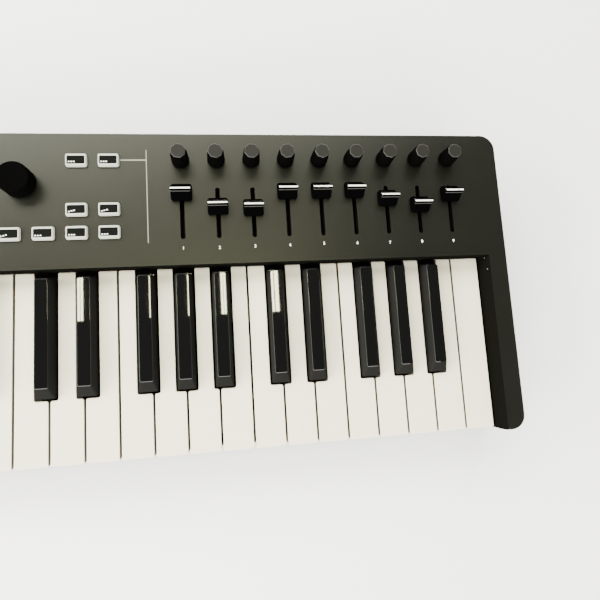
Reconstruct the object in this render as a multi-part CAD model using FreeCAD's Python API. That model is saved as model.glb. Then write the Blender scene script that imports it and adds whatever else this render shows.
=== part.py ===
import FreeCAD, Part
import math
import os

# A 49-note keyboard controller, in millimetres.  +X is towards the high notes, +Y towards the
# rear and +Z up.  The origin is under the middle of the case, on the surface it stands on.

# ---- driving dimensions ---------------------------------------------------------------------
# Keys
white_count = 29
key_pitch = 23.5
key_gap = 1.3
key_setback = 1.0             # the key fronts stand this far behind the cheek fronts
key_visible = 134.9           # key front to the panel's front wall
key_top_z = 46.0
key_skirt = 12.0              # depth of a key's side walls
key_lip = 19.0                # depth of a white key's front lip
key_wall = 1.8
white_travel_deg = 3.5
black_travel_deg = 3.9
black_width = 13.1
black_top_width = 9.0
black_height = 9.5            # above the white tops
black_front = 46.0            # white key front to black key front
black_slope = 7.8             # how far the black key's front slopes back
black_rear_gap = 4.4          # black key's raised end to the panel's front wall
black_clearance = 1.0
black_offsets = {0: -2.1, 1: 2.2, 3: -3.4, 4: 0.0, 5: 3.6}

# Pivot at the rear of the keys
pivot_behind_wall = 19.1
pivot_below_top = 6.0
rod_radius = 1.5
rod_lug_clearance = 0.02
rod_key_clearance = 0.05
tail_behind_pivot = 7.0
tail_below_top = 1.5
tail_depth = 9.5
tail_side_relief = 0.3
lug_width = 4.0
lug_side_clearance = 0.5
lug_half_depth = 5.5

# Case
end_width = 17.8              # outer edge of the case to the last key's pitch line
panel_depth = 99.3
panel_above_keys = 14.0
wall = 2.5
panel_thick = 3.0
rear_corner = 12.0
front_corner = 11.0
top_edge_radius = 1.0
bottom_edge_radius = 1.5
split_z = 22.0
floor_z = 3.0
front_rail_z = 15.5
cheek_gap = 1.0               # beyond the last key's pitch line
cheek_bevel = 2.0
cheek_bevel_depth = 6.5
wall_over_keys = 1.2
foot_radius = 8.0
foot_recess = 1.0

# Keybed frame and what stands on it
frame_z = 12.0
frame_thick = 2.0
felt_thick = 3.0
felt_clearance = 0.3
guide_height = 16.0

# Panel controls, placed from the panel's front wall and from the case's ends
column_count = 9
column_pitch = 25.9
last_column_inset = 43.6
slot_mid = 38.15
slot_length = 38.3
slot_width = 3.3
fader_travel = 31.0
fader_rest = (15.2, 4.3, 3.0, 15.3, 15.4, 15.5, 8.7, 3.2, 11.5)
cap_width = 15.0
cap_depth = 12.0
cap_height = 11.2
cap_gap = 1.0
cap_ridge = 2.6
lever_thick = 1.2
lever_depth = 4.0
knob_row = 78.4
knob_base = 12.9
knob_top_flats = 10.1
knob_height = 17.0
knob_gap = 1.0
knob_sides = 8
shaft_radius = 3.0
shaft_clearance = 0.05
bushing_radius = 3.6
button_length = 14.8
button_depth = 9.7
button_height = 2.5
button_gap = 0.25
button_travel = 1.0
button_pitch = 22.0
button_rows = (25.3, 42.0, 78.35)
first_button_inset = 50.5     # nearest button column to the first fader column
centre_buttons = 6
left_button_inset = 77.5
pad_size = 29.0
pad_pitch = 33.0
pad_height = 3.0
pad_gap = 0.5
pad_travel = 0.8
first_pad_inset = 114.5
pad_front = 30.0
display_width = 64.0
display_depth = 34.0
display_from_first_column = 173.7
display_y = 62.0
main_encoder_from_first_column = 110.0
main_encoder_radius = 11.0
main_encoder_height = 12.0
wheel_radius = 20.0
wheel_width = 11.0
wheel_proud = 6.0
wheel_key_clearance = 1.6        # key tails to the wheels
wheel_insets = (27.5, 52.5)
wheel_axle_radius = 2.5
wheel_axle_clearance = 0.05
wheel_side_gap = 0.8
bracket_thick = 2.5

# Boards, sockets and screws
board_thick = 1.6
board_below_panel = 7.5
switch_size = 6.0
switch_height = 3.4
socket_z = 36.0
usb_inset = 60.0
midi_inset = 86.0
jack_insets = (114.0, 138.0)
jack_bore = 3.25
jack_depth = 16.0
midi_radius = 7.8
screw_radius = 1.48
screw_hole = 1.5
screw_length = 8.0
screw_tip_gap = 0.2
screw_head = 2.8
screw_head_height = 2.0

# ---- worked-out places ----------------------------------------------------------------------
keys_half = white_count * key_pitch / 2
case_half = keys_half + end_width
case_depth = key_setback + key_visible + panel_depth
front_y = -case_depth / 2
rear_y = case_depth / 2
key_front_y = front_y + key_setback
wall_y = key_front_y + key_visible
panel_z = key_top_z + panel_above_keys
under_z = panel_z - panel_thick
well_half = keys_half + cheek_gap
wall_bottom_z = key_top_z + wall_over_keys
skirt_z = key_top_z - key_skirt
pivot_y = wall_y + pivot_behind_wall
pivot_z = key_top_z - pivot_below_top
tail_z1 = key_top_z - tail_below_top
tail_z0 = tail_z1 - tail_depth
tail_front_y = wall_y + 0.3
tail_end_y = pivot_y + tail_behind_pivot
black_front_y = key_front_y + black_front
black_rear_y = wall_y - black_rear_gap
frame_top_z = frame_z + frame_thick
tray_z = floor_z + wall
column_x = [case_half - last_column_inset - column_pitch * (column_count - 1 - i)
            for i in range(column_count)]
slot_y = wall_y + slot_mid
knob_y = wall_y + knob_row
button_x = column_x[0] - first_button_inset
row_y = [wall_y + row for row in button_rows]
board_z = under_z - board_below_panel - board_thick
board_top_z = board_z + board_thick
flange_z = board_top_z + 6.0
display_x = column_x[0] - display_from_first_column
display_mid_y = wall_y + display_y
main_encoder_x = column_x[0] - main_encoder_from_first_column
main_encoder_y = display_mid_y
wheel_mid_y = tail_end_y + wheel_key_clearance + wheel_radius
wheel_z = panel_z + wheel_proud - wheel_radius
wheel_x = [-case_half + inset for inset in wheel_insets]
pad_x = [-case_half + first_pad_inset + pad_pitch * i for i in range(4)]
pad_y = [wall_y + pad_front + pad_pitch * i for i in range(2)]
other_buttons = [(button_x - button_pitch, y) for y in row_y]
other_buttons += [(button_x - button_pitch * (i + 2), row_y[0]) for i in range(centre_buttons)]
other_buttons += [(-case_half + left_button_inset, row_y[0] + 16.7 * i) for i in range(3)]
case_screws = [(x * (case_half - 28.0), rear_y - 8.6) for x in (-1.0, -0.5, 0.0, 0.5, 1.0)]
cheek_mid = (well_half + wall + case_half - wall) / 2
case_screws += [(side * cheek_mid, y) for side in (-1, 1) for y in (front_y + 18.0, wall_y - 28.0)]
frame_screws = [(x * (keys_half - 40.0) / 2, y) for x in (-2, -1, 0, 1, 2)
                for y in (key_front_y + 40.6, wall_y - 0.3)]
board_screws = [(column_x[i] + column_pitch / 2, wall_y + 65.0) for i in (0, 3, 6)]
board_screws += [(column_x[0] - 86.0, wall_y + 62.0), (display_x - 44.0, wall_y + 40.0),
                 (-case_half + 91.0, wall_y + 72.0)]
pocket_z = split_z - 3.0
foot_places = [(x * (case_half - 38.0), y * (case_depth / 2 - 22.0)) for x in (-1, 0, 1) for y in (-1, 1)]

white_notes = "cdefgab"
lone_whites = range(18, white_count)
lone_blacks = (17, 18, 19, 21, 22, 24, 25, 26)


# ---- small shapes ---------------------------------------------------------------------------
def box(x0, x1, y0, y1, z0, z1):
    """A block between two corners."""
    return Part.makeBox(x1 - x0, y1 - y0, z1 - z0, FreeCAD.Vector(x0, y0, z0))


def block(x, y, width, depth, z0, z1):
    """A block about a middle point."""
    return box(x - width / 2, x + width / 2, y - depth / 2, y + depth / 2, z0, z1)


def post(x, y, radius, z0, z1):
    """An upright cylinder."""
    return Part.makeCylinder(radius, z1 - z0, FreeCAD.Vector(x, y, z0))


def rod_x(x0, x1, y, z, radius):
    """A cylinder lying along X."""
    return Part.makeCylinder(radius, x1 - x0, FreeCAD.Vector(x0, y, z), FreeCAD.Vector(1, 0, 0))


def rod_y(y0, y1, x, z, radius):
    """A cylinder lying along Y."""
    return Part.makeCylinder(radius, y1 - y0, FreeCAD.Vector(x, y0, z), FreeCAD.Vector(0, 1, 0))


def join(shapes):
    """One solid from shapes that touch."""
    return shapes[0].fuse(shapes[1:]).removeSplitter()


def upright_edges(shape):
    """The edges that run along Z."""
    return [e for e in shape.Edges if e.BoundBox.ZLength > 0.1 and e.BoundBox.XLength < 0.01
            and e.BoundBox.YLength < 0.01]


def level_edges(shape, z):
    """The edges that lie at one height."""
    return [e for e in shape.Edges if abs(e.BoundBox.ZMin - z) < 0.01 and abs(e.BoundBox.ZMax - z) < 0.01]


def rounded_block(x, y, width, depth, z0, z1, corner):
    """A block with its upright edges rounded."""
    body = block(x, y, width, depth, z0, z1)
    return body.makeFillet(corner, upright_edges(body))


def case_block(inset, z0, z1):
    """The case's plan outline, moved inwards by inset, from z0 to z1."""
    body = box(-case_half + inset, case_half - inset, front_y + inset, rear_y - inset, z0, z1)
    edges = upright_edges(body)
    front = [e for e in edges if e.BoundBox.YMin < 0]
    rear = [e for e in edges if e.BoundBox.YMin > 0]
    body = body.makeFillet(front_corner - inset, front)
    edges = upright_edges(body)
    rear = [e for e in edges if e.BoundBox.YMin > rear_y - inset - 0.01]
    return body.makeFillet(rear_corner - inset, rear)


def profile_x(points, x0, x1):
    """A solid from a closed outline of (y, z) points, drawn out along X."""
    corners = [FreeCAD.Vector(x0, y, z) for y, z in points]
    face = Part.Face(Part.makePolygon(corners + corners[:1]))
    return face.extrude(FreeCAD.Vector(x1 - x0, 0, 0))


def slot_cutter(x, y, width, length, z0, z1):
    """A round-ended slot along Y."""
    half = (length - width) / 2
    return join([block(x, y, width, 2 * half, z0, z1), post(x, y - half, width / 2, z0, z1),
                 post(x, y + half, width / 2, z0, z1)])


# ---- keys -----------------------------------------------------------------------------------
def key_line(index):
    """X of the pitch line on the low side of white key number index."""
    return -keys_half + index * key_pitch


def black_x(index):
    """X of the black key above white key number index."""
    return key_line(index + 1) + black_offsets[index % 7]


def has_black(index):
    """True if a black key stands between white keys index and index + 1."""
    return 0 <= index < white_count - 1 and index % 7 in black_offsets


def neck_range(index):
    """The low and high X of a white key's neck, beside the black keys."""
    half = black_width / 2 + black_clearance
    low = key_line(index) + key_gap / 2
    high = key_line(index + 1) - key_gap / 2
    if has_black(index - 1):
        low = black_x(index - 1) + half
    if has_black(index):
        high = black_x(index) - half
    return low, high


def tail(x0, x1, y0):
    """The solid tail that carries the pivot bore, slotted for the frame's lug."""
    body = box(x0 + tail_side_relief, x1 - tail_side_relief, y0, tail_end_y, tail_z0, tail_z1)
    gap = lug_width / 2 + lug_side_clearance
    mid = (x0 + x1) / 2
    slot = box(mid - gap, mid + gap, pivot_y - lug_half_depth - 2.0, tail_end_y + 1, tail_z0 - 1, tail_z1 + 1)
    bore = rod_x(x0 - 1, x1 + 1, pivot_y, pivot_z, rod_radius + rod_key_clearance)
    return body.cut(slot).cut(bore)


def white_key(index):
    """A moulded white key: a thin shell, open underneath, with a front lip and a tail."""
    low = key_line(index) + key_gap / 2
    high = key_line(index + 1) - key_gap / 2
    neck_low, neck_high = neck_range(index)
    notch_y = black_front_y - black_clearance
    plan = [(low, key_front_y), (high, key_front_y), (high, notch_y)]
    if neck_high < high - 0.01:
        plan += [(neck_high, notch_y)]
    plan += [(neck_high, tail_front_y), (neck_low, tail_front_y)]
    if neck_low > low + 0.01:
        plan += [(neck_low, notch_y)]
    plan += [(low, notch_y)]
    corners = [FreeCAD.Vector(x, y, skirt_z) for x, y in plan]
    face = Part.Face(Part.makePolygon(corners + corners[:1]))
    body = face.extrude(FreeCAD.Vector(0, 0, key_skirt))
    body = body.makeFillet(0.6, level_edges(body, key_top_z))
    lip = box(low, high, key_front_y, key_front_y + key_wall, key_top_z - key_lip, skirt_z)
    roof_z = key_top_z - key_wall
    head_room = box(low + key_wall, high - key_wall, key_front_y + key_wall, notch_y - key_wall, skirt_z, roof_z)
    neck_room = box(neck_low + key_wall, neck_high - key_wall, notch_y - key_wall - 1,
                    tail_front_y - key_wall, skirt_z, roof_z)
    body = body.cut(head_room).cut(neck_room)
    return join([body, lip, tail(neck_low, neck_high, tail_front_y)])


def black_key(index):
    """A moulded black key: a tapered shell on straight side walls, with a tail."""
    x = black_x(index)
    half = black_width / 2
    top_half = black_top_width / 2
    step_z = key_top_z + 2.0
    top_z = key_top_z + black_height
    lower = box(x - half, x + half, black_front_y, black_rear_y, skirt_z, step_z)
    rings = []
    for inset_x, y0, y1, z in ((half, black_front_y, black_rear_y, step_z),
                               (top_half, black_front_y + black_slope, black_rear_y - 1.0, top_z)):
        ring = [FreeCAD.Vector(x - inset_x, y0, z), FreeCAD.Vector(x + inset_x, y0, z),
                FreeCAD.Vector(x + inset_x, y1, z), FreeCAD.Vector(x - inset_x, y1, z)]
        rings.append(Part.makePolygon(ring + ring[:1]))
    upper = Part.makeLoft(rings, True, True)
    body = join([lower, upper])
    soft = [e for e in body.Edges if e.BoundBox.ZMax > step_z + 0.1]
    body = body.makeFillet(1.1, soft)
    room = box(x - half + key_wall, x + half - key_wall, black_front_y + key_wall, black_rear_y - key_wall,
               skirt_z, key_top_z - key_wall)
    tail_body = tail(x - half, x + half, black_rear_y)
    return join([body.cut(room), tail_body])


def white_name(index):
    """The node name of a white key that moves by itself."""
    return "white_key_%s%d" % (white_notes[index % 7], 2 + index // 7)


def black_name(index):
    """The node name of a black key that moves by itself."""
    return "black_key_%s_sharp%d" % (white_notes[index % 7], 2 + index // 7)


# ---- case -----------------------------------------------------------------------------------
def top_case():
    """The upper shell: the control panel, its front and rear walls and the two cheeks."""
    outer = case_block(0, split_z, panel_z)
    outer = outer.makeFillet(top_edge_radius, level_edges(outer, panel_z))
    well = box(-well_half, well_half, front_y - 1, wall_y, split_z - 1, panel_z + 1)
    under_wall = box(-well_half, well_half, wall_y - 1, wall_y + wall, split_z - 1, wall_bottom_z)
    kept = box(-well_half - wall, well_half + wall, front_y - 1, wall_y + wall, split_z - 1, panel_z + 1)
    hollow = case_block(wall, split_z - 1, under_z).cut(kept)
    body = outer.cut(hollow).cut(well).cut(under_wall)
    for side in (-1, 1):
        corners = [FreeCAD.Vector(side * x, front_y - 1, z) for x, z in (
            (well_half - 1, panel_z - cheek_bevel_depth), (well_half, panel_z - cheek_bevel_depth),
            (well_half + cheek_bevel, panel_z), (well_half + cheek_bevel, panel_z + 1), (well_half - 1, panel_z + 1))]
        face = Part.Face(Part.makePolygon(corners + corners[:1]))
        body = body.cut(face.extrude(FreeCAD.Vector(0, wall_y - front_y + 1, 0)))
    bosses = [post(x, y, 3.8, split_z, under_z) for x, y in case_screws]
    bosses += [post(x, y, 3.0, board_top_z, under_z) for x, y in board_screws]
    body = join([body] + bosses)
    cutters = [post(x, y, screw_hole, split_z - 1, split_z + 12) for x, y in case_screws]
    cutters += [post(x, y, screw_hole, board_top_z - 1, board_top_z + 6.5) for x, y in board_screws]
    low, high = under_z - 1, panel_z + 1
    for x in column_x:
        cutters.append(slot_cutter(x, slot_y, slot_width, slot_length, low, high))
        cutters.append(post(x, knob_y, bushing_radius + 0.1, low, high))
    cutters.append(post(main_encoder_x, main_encoder_y, bushing_radius + 0.1, low, high))
    opening = 2 * button_gap
    for x, y in button_places():
        cutters.append(rounded_block(x, y, button_length + opening, button_depth + opening, low, high, 1.5))
    for x in pad_x:
        for y in pad_y:
            side = pad_size + 2 * pad_gap
            cutters.append(rounded_block(x, y, side, side, low, high, 2.5))
    cutters.append(rounded_block(display_x, display_mid_y, display_width, display_depth, low, high, 2.0))
    chord = 2 * math.sqrt(wheel_radius ** 2 - (under_z - wheel_z) ** 2)
    for x in wheel_x:
        cutters.append(rounded_block(x, wheel_mid_y, wheel_width + 2, chord + 1.2, low, high, 2.0))
    inner, outer_face = rear_y - wall - 1, rear_y + 1
    for x, radius in socket_places():
        cutters.append(rod_y(inner, outer_face, x, socket_z, radius + 0.2))
    usb = box(-case_half + usb_inset - 4.9, -case_half + usb_inset + 4.9, inner, outer_face,
              socket_z - 2.1, socket_z + 2.1)
    cutters.append(usb.makeFillet(1.9, [e for e in usb.Edges if e.BoundBox.YLength > 2]))
    return body.cut(cutters)


def bottom_case():
    """The lower tray, with a low front rail under the keys, standoffs and screw pockets."""
    outer = case_block(0, floor_z, split_z)
    outer = outer.makeFillet(bottom_edge_radius, level_edges(outer, floor_z))
    body = outer.cut(case_block(wall, tray_z, split_z + 1))
    front = box(-well_half, well_half, front_y - 1, front_y + wall + 1, front_rail_z, split_z + 1)
    stands = [post(x, y, 4.5, tray_z, split_z) for x, y in case_screws]
    stands += [post(x, y, 3.8, tray_z, frame_z) for x, y in frame_screws]
    body = join([body.cut(front)] + stands)
    cutters = [post(x, y, screw_head + 0.4, floor_z - 1, pocket_z) for x, y in case_screws]
    cutters += [post(x, y, screw_radius + 0.2, floor_z - 1, split_z + 1) for x, y in case_screws]
    tip_z = frame_top_z - screw_length - screw_tip_gap
    cutters += [post(x, y, screw_hole, tip_z, frame_z + 1) for x, y in frame_screws]
    cutters += [post(x, y, foot_radius, floor_z - 1, floor_z + foot_recess) for x, y in foot_places]
    return body.cut(cutters)


def screw(x, y, z, up):
    """A pan-head screw whose head seats at z, its shank running up or down."""
    turn = 1 if up else -1
    low, high = sorted((z, z + turn * screw_length))
    shank = post(x, y, screw_radius, low, high)
    low, high = sorted((z, z - turn * screw_head_height))
    head = post(x, y, screw_head, low, high)
    low, high = sorted((z - turn * (screw_head_height + 0.1), z - turn * (screw_head_height - 1.0)))
    cross = [block(x, y, 3.2, 0.7, low, high), block(x, y, 0.7, 3.2, low, high)]
    return join([shank, head]).cut(cross)


def screws():
    """Every screw: through the tray into the top case, into the tray and under the board."""
    parts = [screw(x, y, pocket_z, True) for x, y in case_screws]
    parts += [screw(x, y, frame_top_z, False) for x, y in frame_screws]
    parts += [screw(x, y, board_z, True) for x, y in board_screws]
    return parts


# ---- under the keys -------------------------------------------------------------------------
def felt_top(y0, travel_deg):
    """The height of a stop felt whose front edge is at y0."""
    return skirt_z - (pivot_y - y0) * math.tan(math.radians(travel_deg)) - felt_clearance


def stop_rails():
    """Each stop felt's front y, depth and top height: whites, then blacks."""
    places = []
    for y0, travel in ((key_front_y + 26.0, white_travel_deg), (black_front_y + 6.0, black_travel_deg)):
        places.append((y0, 8.0, felt_top(y0, travel)))
    return places


def tail_middles():
    """X of the middle of every key's tail."""
    whites = [sum(neck_range(i)) / 2 for i in range(white_count)]
    return whites + [black_x(i) for i in range(white_count) if has_black(i)]


def keybed_frame():
    """The chassis: a plate, two stop rails, a guide for each key and the pivot lugs."""
    span = keys_half - 2.0
    plate = box(-span, span, key_front_y + 8.0, tail_end_y + 3.0, frame_z, frame_top_z)
    parts = [plate]
    for y0, depth, top in stop_rails():
        parts.append(box(-span, span, y0, y0 + depth, frame_top_z, top - felt_thick))
    board_y = key_front_y + 70.0
    for y in (board_y + 2.0, board_y + 34.0):
        parts.append(box(-span, span, y, y + 3.0, frame_top_z, frame_top_z + 4.0))
    for i in range(white_count):
        x = key_line(i) + key_pitch / 2
        parts.append(block(x, key_front_y + 16.0, 5.0, 4.0, frame_top_z, frame_top_z + guide_height))
        if has_black(i):
            parts.append(block(black_x(i), black_front_y + 18.0, 4.0, 4.0, frame_top_z,
                               frame_top_z + guide_height))
    for x in tail_middles():
        parts.append(block(x, pivot_y, lug_width, 2 * lug_half_depth, frame_top_z, tail_z1 - 0.5))
    body = join(parts)
    holes = [rod_x(-span - 1, span + 1, pivot_y, pivot_z, rod_radius + rod_lug_clearance)]
    holes += [post(x, y, screw_radius + 0.2, frame_z - 1, frame_top_z + 1) for x, y in frame_screws]
    return body.cut(holes)


def key_cushions():
    """The two stop felts, the felt that the keys rest up against and the contact strip."""
    span = keys_half - 2.0
    parts = [box(-span, span, y0, y0 + depth, top - felt_thick, top) for y0, depth, top in stop_rails()]
    parts.append(box(-well_half + 0.5, well_half - 0.5, wall_y + 1.2, wall_y + wall + 4.0,
                     tail_z1 + 0.2, wall_bottom_z))
    strip_y = key_front_y + 84.0
    parts.append(box(-span, span, strip_y, strip_y + 10.0, frame_top_z + 4.0 + board_thick, 26.0))
    return parts


def key_springs():
    """One leaf spring a key, under the front of its tail, flexed down clear of it."""
    foot_y = pivot_y - 36.0
    top_y = pivot_y - 12.0
    top_z = tail_z0 - (pivot_y - top_y) * math.tan(math.radians(black_travel_deg)) - 0.5
    thick = 0.5
    outline = [(foot_y, frame_top_z), (foot_y + 8.0, frame_top_z), (top_y, top_z - thick), (top_y + 3.0, top_z - thick),
               (top_y + 3.0, top_z), (top_y - 0.4, top_z), (foot_y + 7.6, frame_top_z + thick),
               (foot_y, frame_top_z + thick)]
    return [profile_x(outline, x - 2.5, x + 2.5) for x in tail_middles()]


# ---- panel controls -------------------------------------------------------------------------
def knob(x, y, rest_angle):
    """A faceted knob on its encoder shaft, turned to rest_angle."""
    low = panel_z + knob_gap
    high = panel_z + knob_height
    body = Part.makeCone(knob_base / 2, knob_base / 2 - 0.55, high - low, FreeCAD.Vector(0, 0, low))
    rings = []
    for flats, z in ((knob_base + 1.4, low - 1.0), (knob_top_flats, high)):
        radius = flats / 2 / math.cos(math.pi / knob_sides)
        ring = [FreeCAD.Vector(radius * math.cos(2 * math.pi * i / knob_sides),
                               radius * math.sin(2 * math.pi * i / knob_sides), z) for i in range(knob_sides)]
        rings.append(Part.makePolygon(ring + ring[:1]))
    body = body.common(Part.makeLoft(rings, True, True))
    body = body.makeChamfer(0.35, level_edges(body, high))
    shaft_top = high - 4.0
    body = body.cut(post(0, 0, bushing_radius + 0.6, low - 1, low + 3.0))
    body = body.cut(post(0, 0, shaft_radius, low, shaft_top))
    shaft = post(0, 0, shaft_radius, board_top_z + 1.0, shaft_top)
    both = Part.makeCompound([body, shaft])
    both.rotate(FreeCAD.Vector(0, 0, 0), FreeCAD.Vector(0, 0, 1), rest_angle)
    both.translate(FreeCAD.Vector(x, y, 0))
    return [both]


def main_encoder():
    """The broad selecting knob on its shaft, with a shallow dish in its top."""
    x, y = main_encoder_x, main_encoder_y
    low = panel_z + knob_gap
    high = low + main_encoder_height
    body = post(x, y, main_encoder_radius, low, high)
    body = body.makeChamfer(0.8, level_edges(body, high))
    body = body.cut(Part.makeSphere(60.0, FreeCAD.Vector(x, y, high + 59.3)))
    flutes = 24
    for i in range(flutes):
        turn = 2 * math.pi * i / flutes
        body = body.cut(post(x + (main_encoder_radius + 0.5) * math.cos(turn),
                             y + (main_encoder_radius + 0.5) * math.sin(turn), 0.9, low + 1.5, high + 1))
    body = body.cut(post(x, y, bushing_radius + 0.6, low - 1, low + 3.0))
    body = body.cut(post(x, y, shaft_radius, low, high - 3.0))
    return [body, post(x, y, shaft_radius, board_top_z + 1.0, high - 3.0)]


def fader_cap(index):
    """A waisted cap with a ridge across its top, on the lever of its slider."""
    x = column_x[index]
    y = slot_y + fader_rest[index]
    low = panel_z + cap_gap
    high = panel_z + cap_height
    half, ridge = cap_depth / 2, cap_ridge / 2
    x0 = x - cap_width / 2
    points = {name: FreeCAD.Vector(x0, y + dy, z) for name, dy, z in (
        ("a", -half, low), ("b", -half, low + 1.4), ("c", -0.6 * half, low + 4.2), ("d", -ridge, high - 0.8),
        ("e", -ridge, high), ("f", ridge, high), ("g", ridge, high - 0.8), ("h", 0.6 * half, low + 4.2),
        ("i", half, low + 1.4), ("j", half, low))}
    p = points
    edges = [Part.LineSegment(p["a"], p["b"]), Part.Arc(p["b"], p["c"], p["d"]), Part.LineSegment(p["d"], p["e"]),
             Part.LineSegment(p["e"], p["f"]), Part.LineSegment(p["f"], p["g"]), Part.Arc(p["g"], p["h"], p["i"]),
             Part.LineSegment(p["i"], p["j"]), Part.LineSegment(p["j"], p["a"])]
    face = Part.Face(Part.Wire([edge.toShape() for edge in edges]))
    body = face.extrude(FreeCAD.Vector(cap_width, 0, 0))
    corners = [e for e in upright_edges(body) if e.BoundBox.ZMax < low + 1.5]
    body = body.makeFillet(1.2, corners)
    seat = block(x, y, lever_thick, lever_depth, low, low + 6.0)
    lever = block(x, y, lever_thick, lever_depth, under_z - 4.5, low + 6.0)
    return [body.cut(seat), lever]


def button_places():
    """X and Y of every button: the nearest column first, then the others."""
    return [(button_x, y) for y in row_y] + other_buttons


def button(x, y):
    """A button: a rounded cap, the flange that keeps it in and its plunger."""
    top = panel_z + button_height
    cap = rounded_block(x, y, button_length, button_depth, flange_z, top, 1.3)
    cap = cap.makeFillet(0.7, level_edges(cap, top))
    flange = block(x, y, button_length + 2.0, button_depth + 2.0, flange_z - 1.0, flange_z)
    plunger_z = board_top_z + switch_height + button_travel + 0.2
    plunger = block(x, y, 3.0, 3.0, plunger_z, flange_z - 1.0)
    parts = [cap, flange]
    if plunger_z < flange_z - 1.05:
        parts.append(plunger)
    return join(parts)


def pads():
    """The eight silicone pads on their common mat."""
    margin = pad_size / 2 + 3.0
    mat = box(pad_x[0] - margin, pad_x[-1] + margin, pad_y[0] - margin, pad_y[-1] + margin,
              under_z - 2.2, under_z - 0.7)
    parts = [mat]
    for x in pad_x:
        for y in pad_y:
            pad = rounded_block(x, y, pad_size, pad_size, under_z - 0.7, panel_z + pad_height, 2.2)
            parts.append(pad.makeFillet(1.0, level_edges(pad, panel_z + pad_height)))
    return [join(parts)]


def display_module():
    """The display's housing under the panel and the window in its opening."""
    housing = block(display_x, display_mid_y, display_width + 6.0, display_depth + 8.0, board_top_z, under_z - 0.1)
    window = rounded_block(display_x, display_mid_y, display_width - 0.3, display_depth - 0.3,
                           under_z - 0.1, panel_z - 0.1, 1.85)
    return [housing, window]


def wheel(x, notch_deg):
    """A thumb wheel with a finger notch and an axle stub on each side."""
    body = rod_x(x - wheel_width / 2, x + wheel_width / 2, wheel_mid_y, wheel_z, wheel_radius)
    rims = [e for e in body.Edges if e.BoundBox.XLength < 0.01]
    body = body.makeFillet(1.2, rims)
    reach = wheel_radius + 3.2
    turn = math.radians(notch_deg)
    notch = rod_x(x - wheel_width, x + wheel_width, wheel_mid_y - reach * math.sin(turn),
                  wheel_z + reach * math.cos(turn), 6.0)
    stub = wheel_width / 2 + wheel_side_gap + bracket_thick
    axle = rod_x(x - stub, x + stub, wheel_mid_y, wheel_z, wheel_axle_radius)
    return [join([body.cut(notch), axle])]


def wheel_bracket():
    """The stand that holds both wheels' axles, screwed down beside the tray's wall."""
    reach = wheel_width / 2 + wheel_side_gap
    x0 = wheel_x[0] - reach - bracket_thick
    x1 = wheel_x[1] + reach + bracket_thick
    parts = [box(x0, x1, wheel_mid_y - 14.0, wheel_mid_y + 14.0, tray_z, tray_z + 2.5)]
    for x in wheel_x:
        for side in (-1, 1):
            mid = x + side * (reach + bracket_thick / 2)
            parts.append(block(mid, wheel_mid_y, bracket_thick, 14.0, tray_z + 2.5, wheel_z + 5.0))
    body = join(parts)
    return [body.cut(rod_x(x0 - 1, x1 + 1, wheel_mid_y, wheel_z, wheel_axle_radius + wheel_axle_clearance))]


# ---- electronics ----------------------------------------------------------------------------
def circuit_boards():
    """The control board under the panel, the contact board under the keys, the socket board."""
    control = box(wheel_x[1] + 18.0, case_half - 26.0, wall_y + 8.0, wall_y + 85.0, board_z, board_top_z)
    holes = [post(x, y, screw_radius + 0.2, board_z - 1, board_top_z + 1) for x, y in board_screws]
    board_y = key_front_y + 70.0
    contact = box(-keys_half + 4.0, keys_half - 4.0, board_y, board_y + 40.0, frame_top_z + 4.0,
                  frame_top_z + 4.0 + board_thick)
    x0 = -case_half + usb_inset - 10.0
    x1 = -case_half + jack_insets[1] + 10.0
    sockets = box(x0, x1, rear_y - wall - 20.0, rear_y - wall - 1.0, socket_z - 12.0, socket_z - 12.0 + board_thick)
    return [control.cut(holes), contact, sockets]


def encoder_body(x, y):
    """An encoder's housing and the bushing that its shaft turns in."""
    housing = block(x, y, 12.0, 12.0, board_top_z, board_top_z + 6.0)
    bushing = post(x, y, bushing_radius, board_top_z + 6.0, panel_z + knob_gap + 1.5)
    bore = post(x, y, shaft_radius + shaft_clearance, board_top_z + 0.8, panel_z + 5.0)
    return join([housing, bushing]).cut(bore)


def control_pots():
    """The sliders' bodies, the encoders' bodies and the buttons' switches."""
    parts = []
    for x in column_x:
        track = block(x, slot_y, 8.0, slot_length + 8.0, board_top_z, under_z - 0.3)
        slot = block(x, slot_y, lever_thick + 1.0, fader_travel + lever_depth + 1.0, under_z - 5.5, under_z)
        parts.append(track.cut(slot))
        parts.append(encoder_body(x, knob_y))
    parts.append(encoder_body(main_encoder_x, main_encoder_y))
    for x, y in button_places():
        parts.append(block(x, y, switch_size, switch_size, board_top_z, board_top_z + switch_height))
    return parts


def socket_places():
    """X and barrel radius of the round sockets in the rear wall."""
    places = [(-case_half + midi_inset, midi_radius)]
    return places + [(-case_half + inset, 5.5) for inset in jack_insets]


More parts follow.
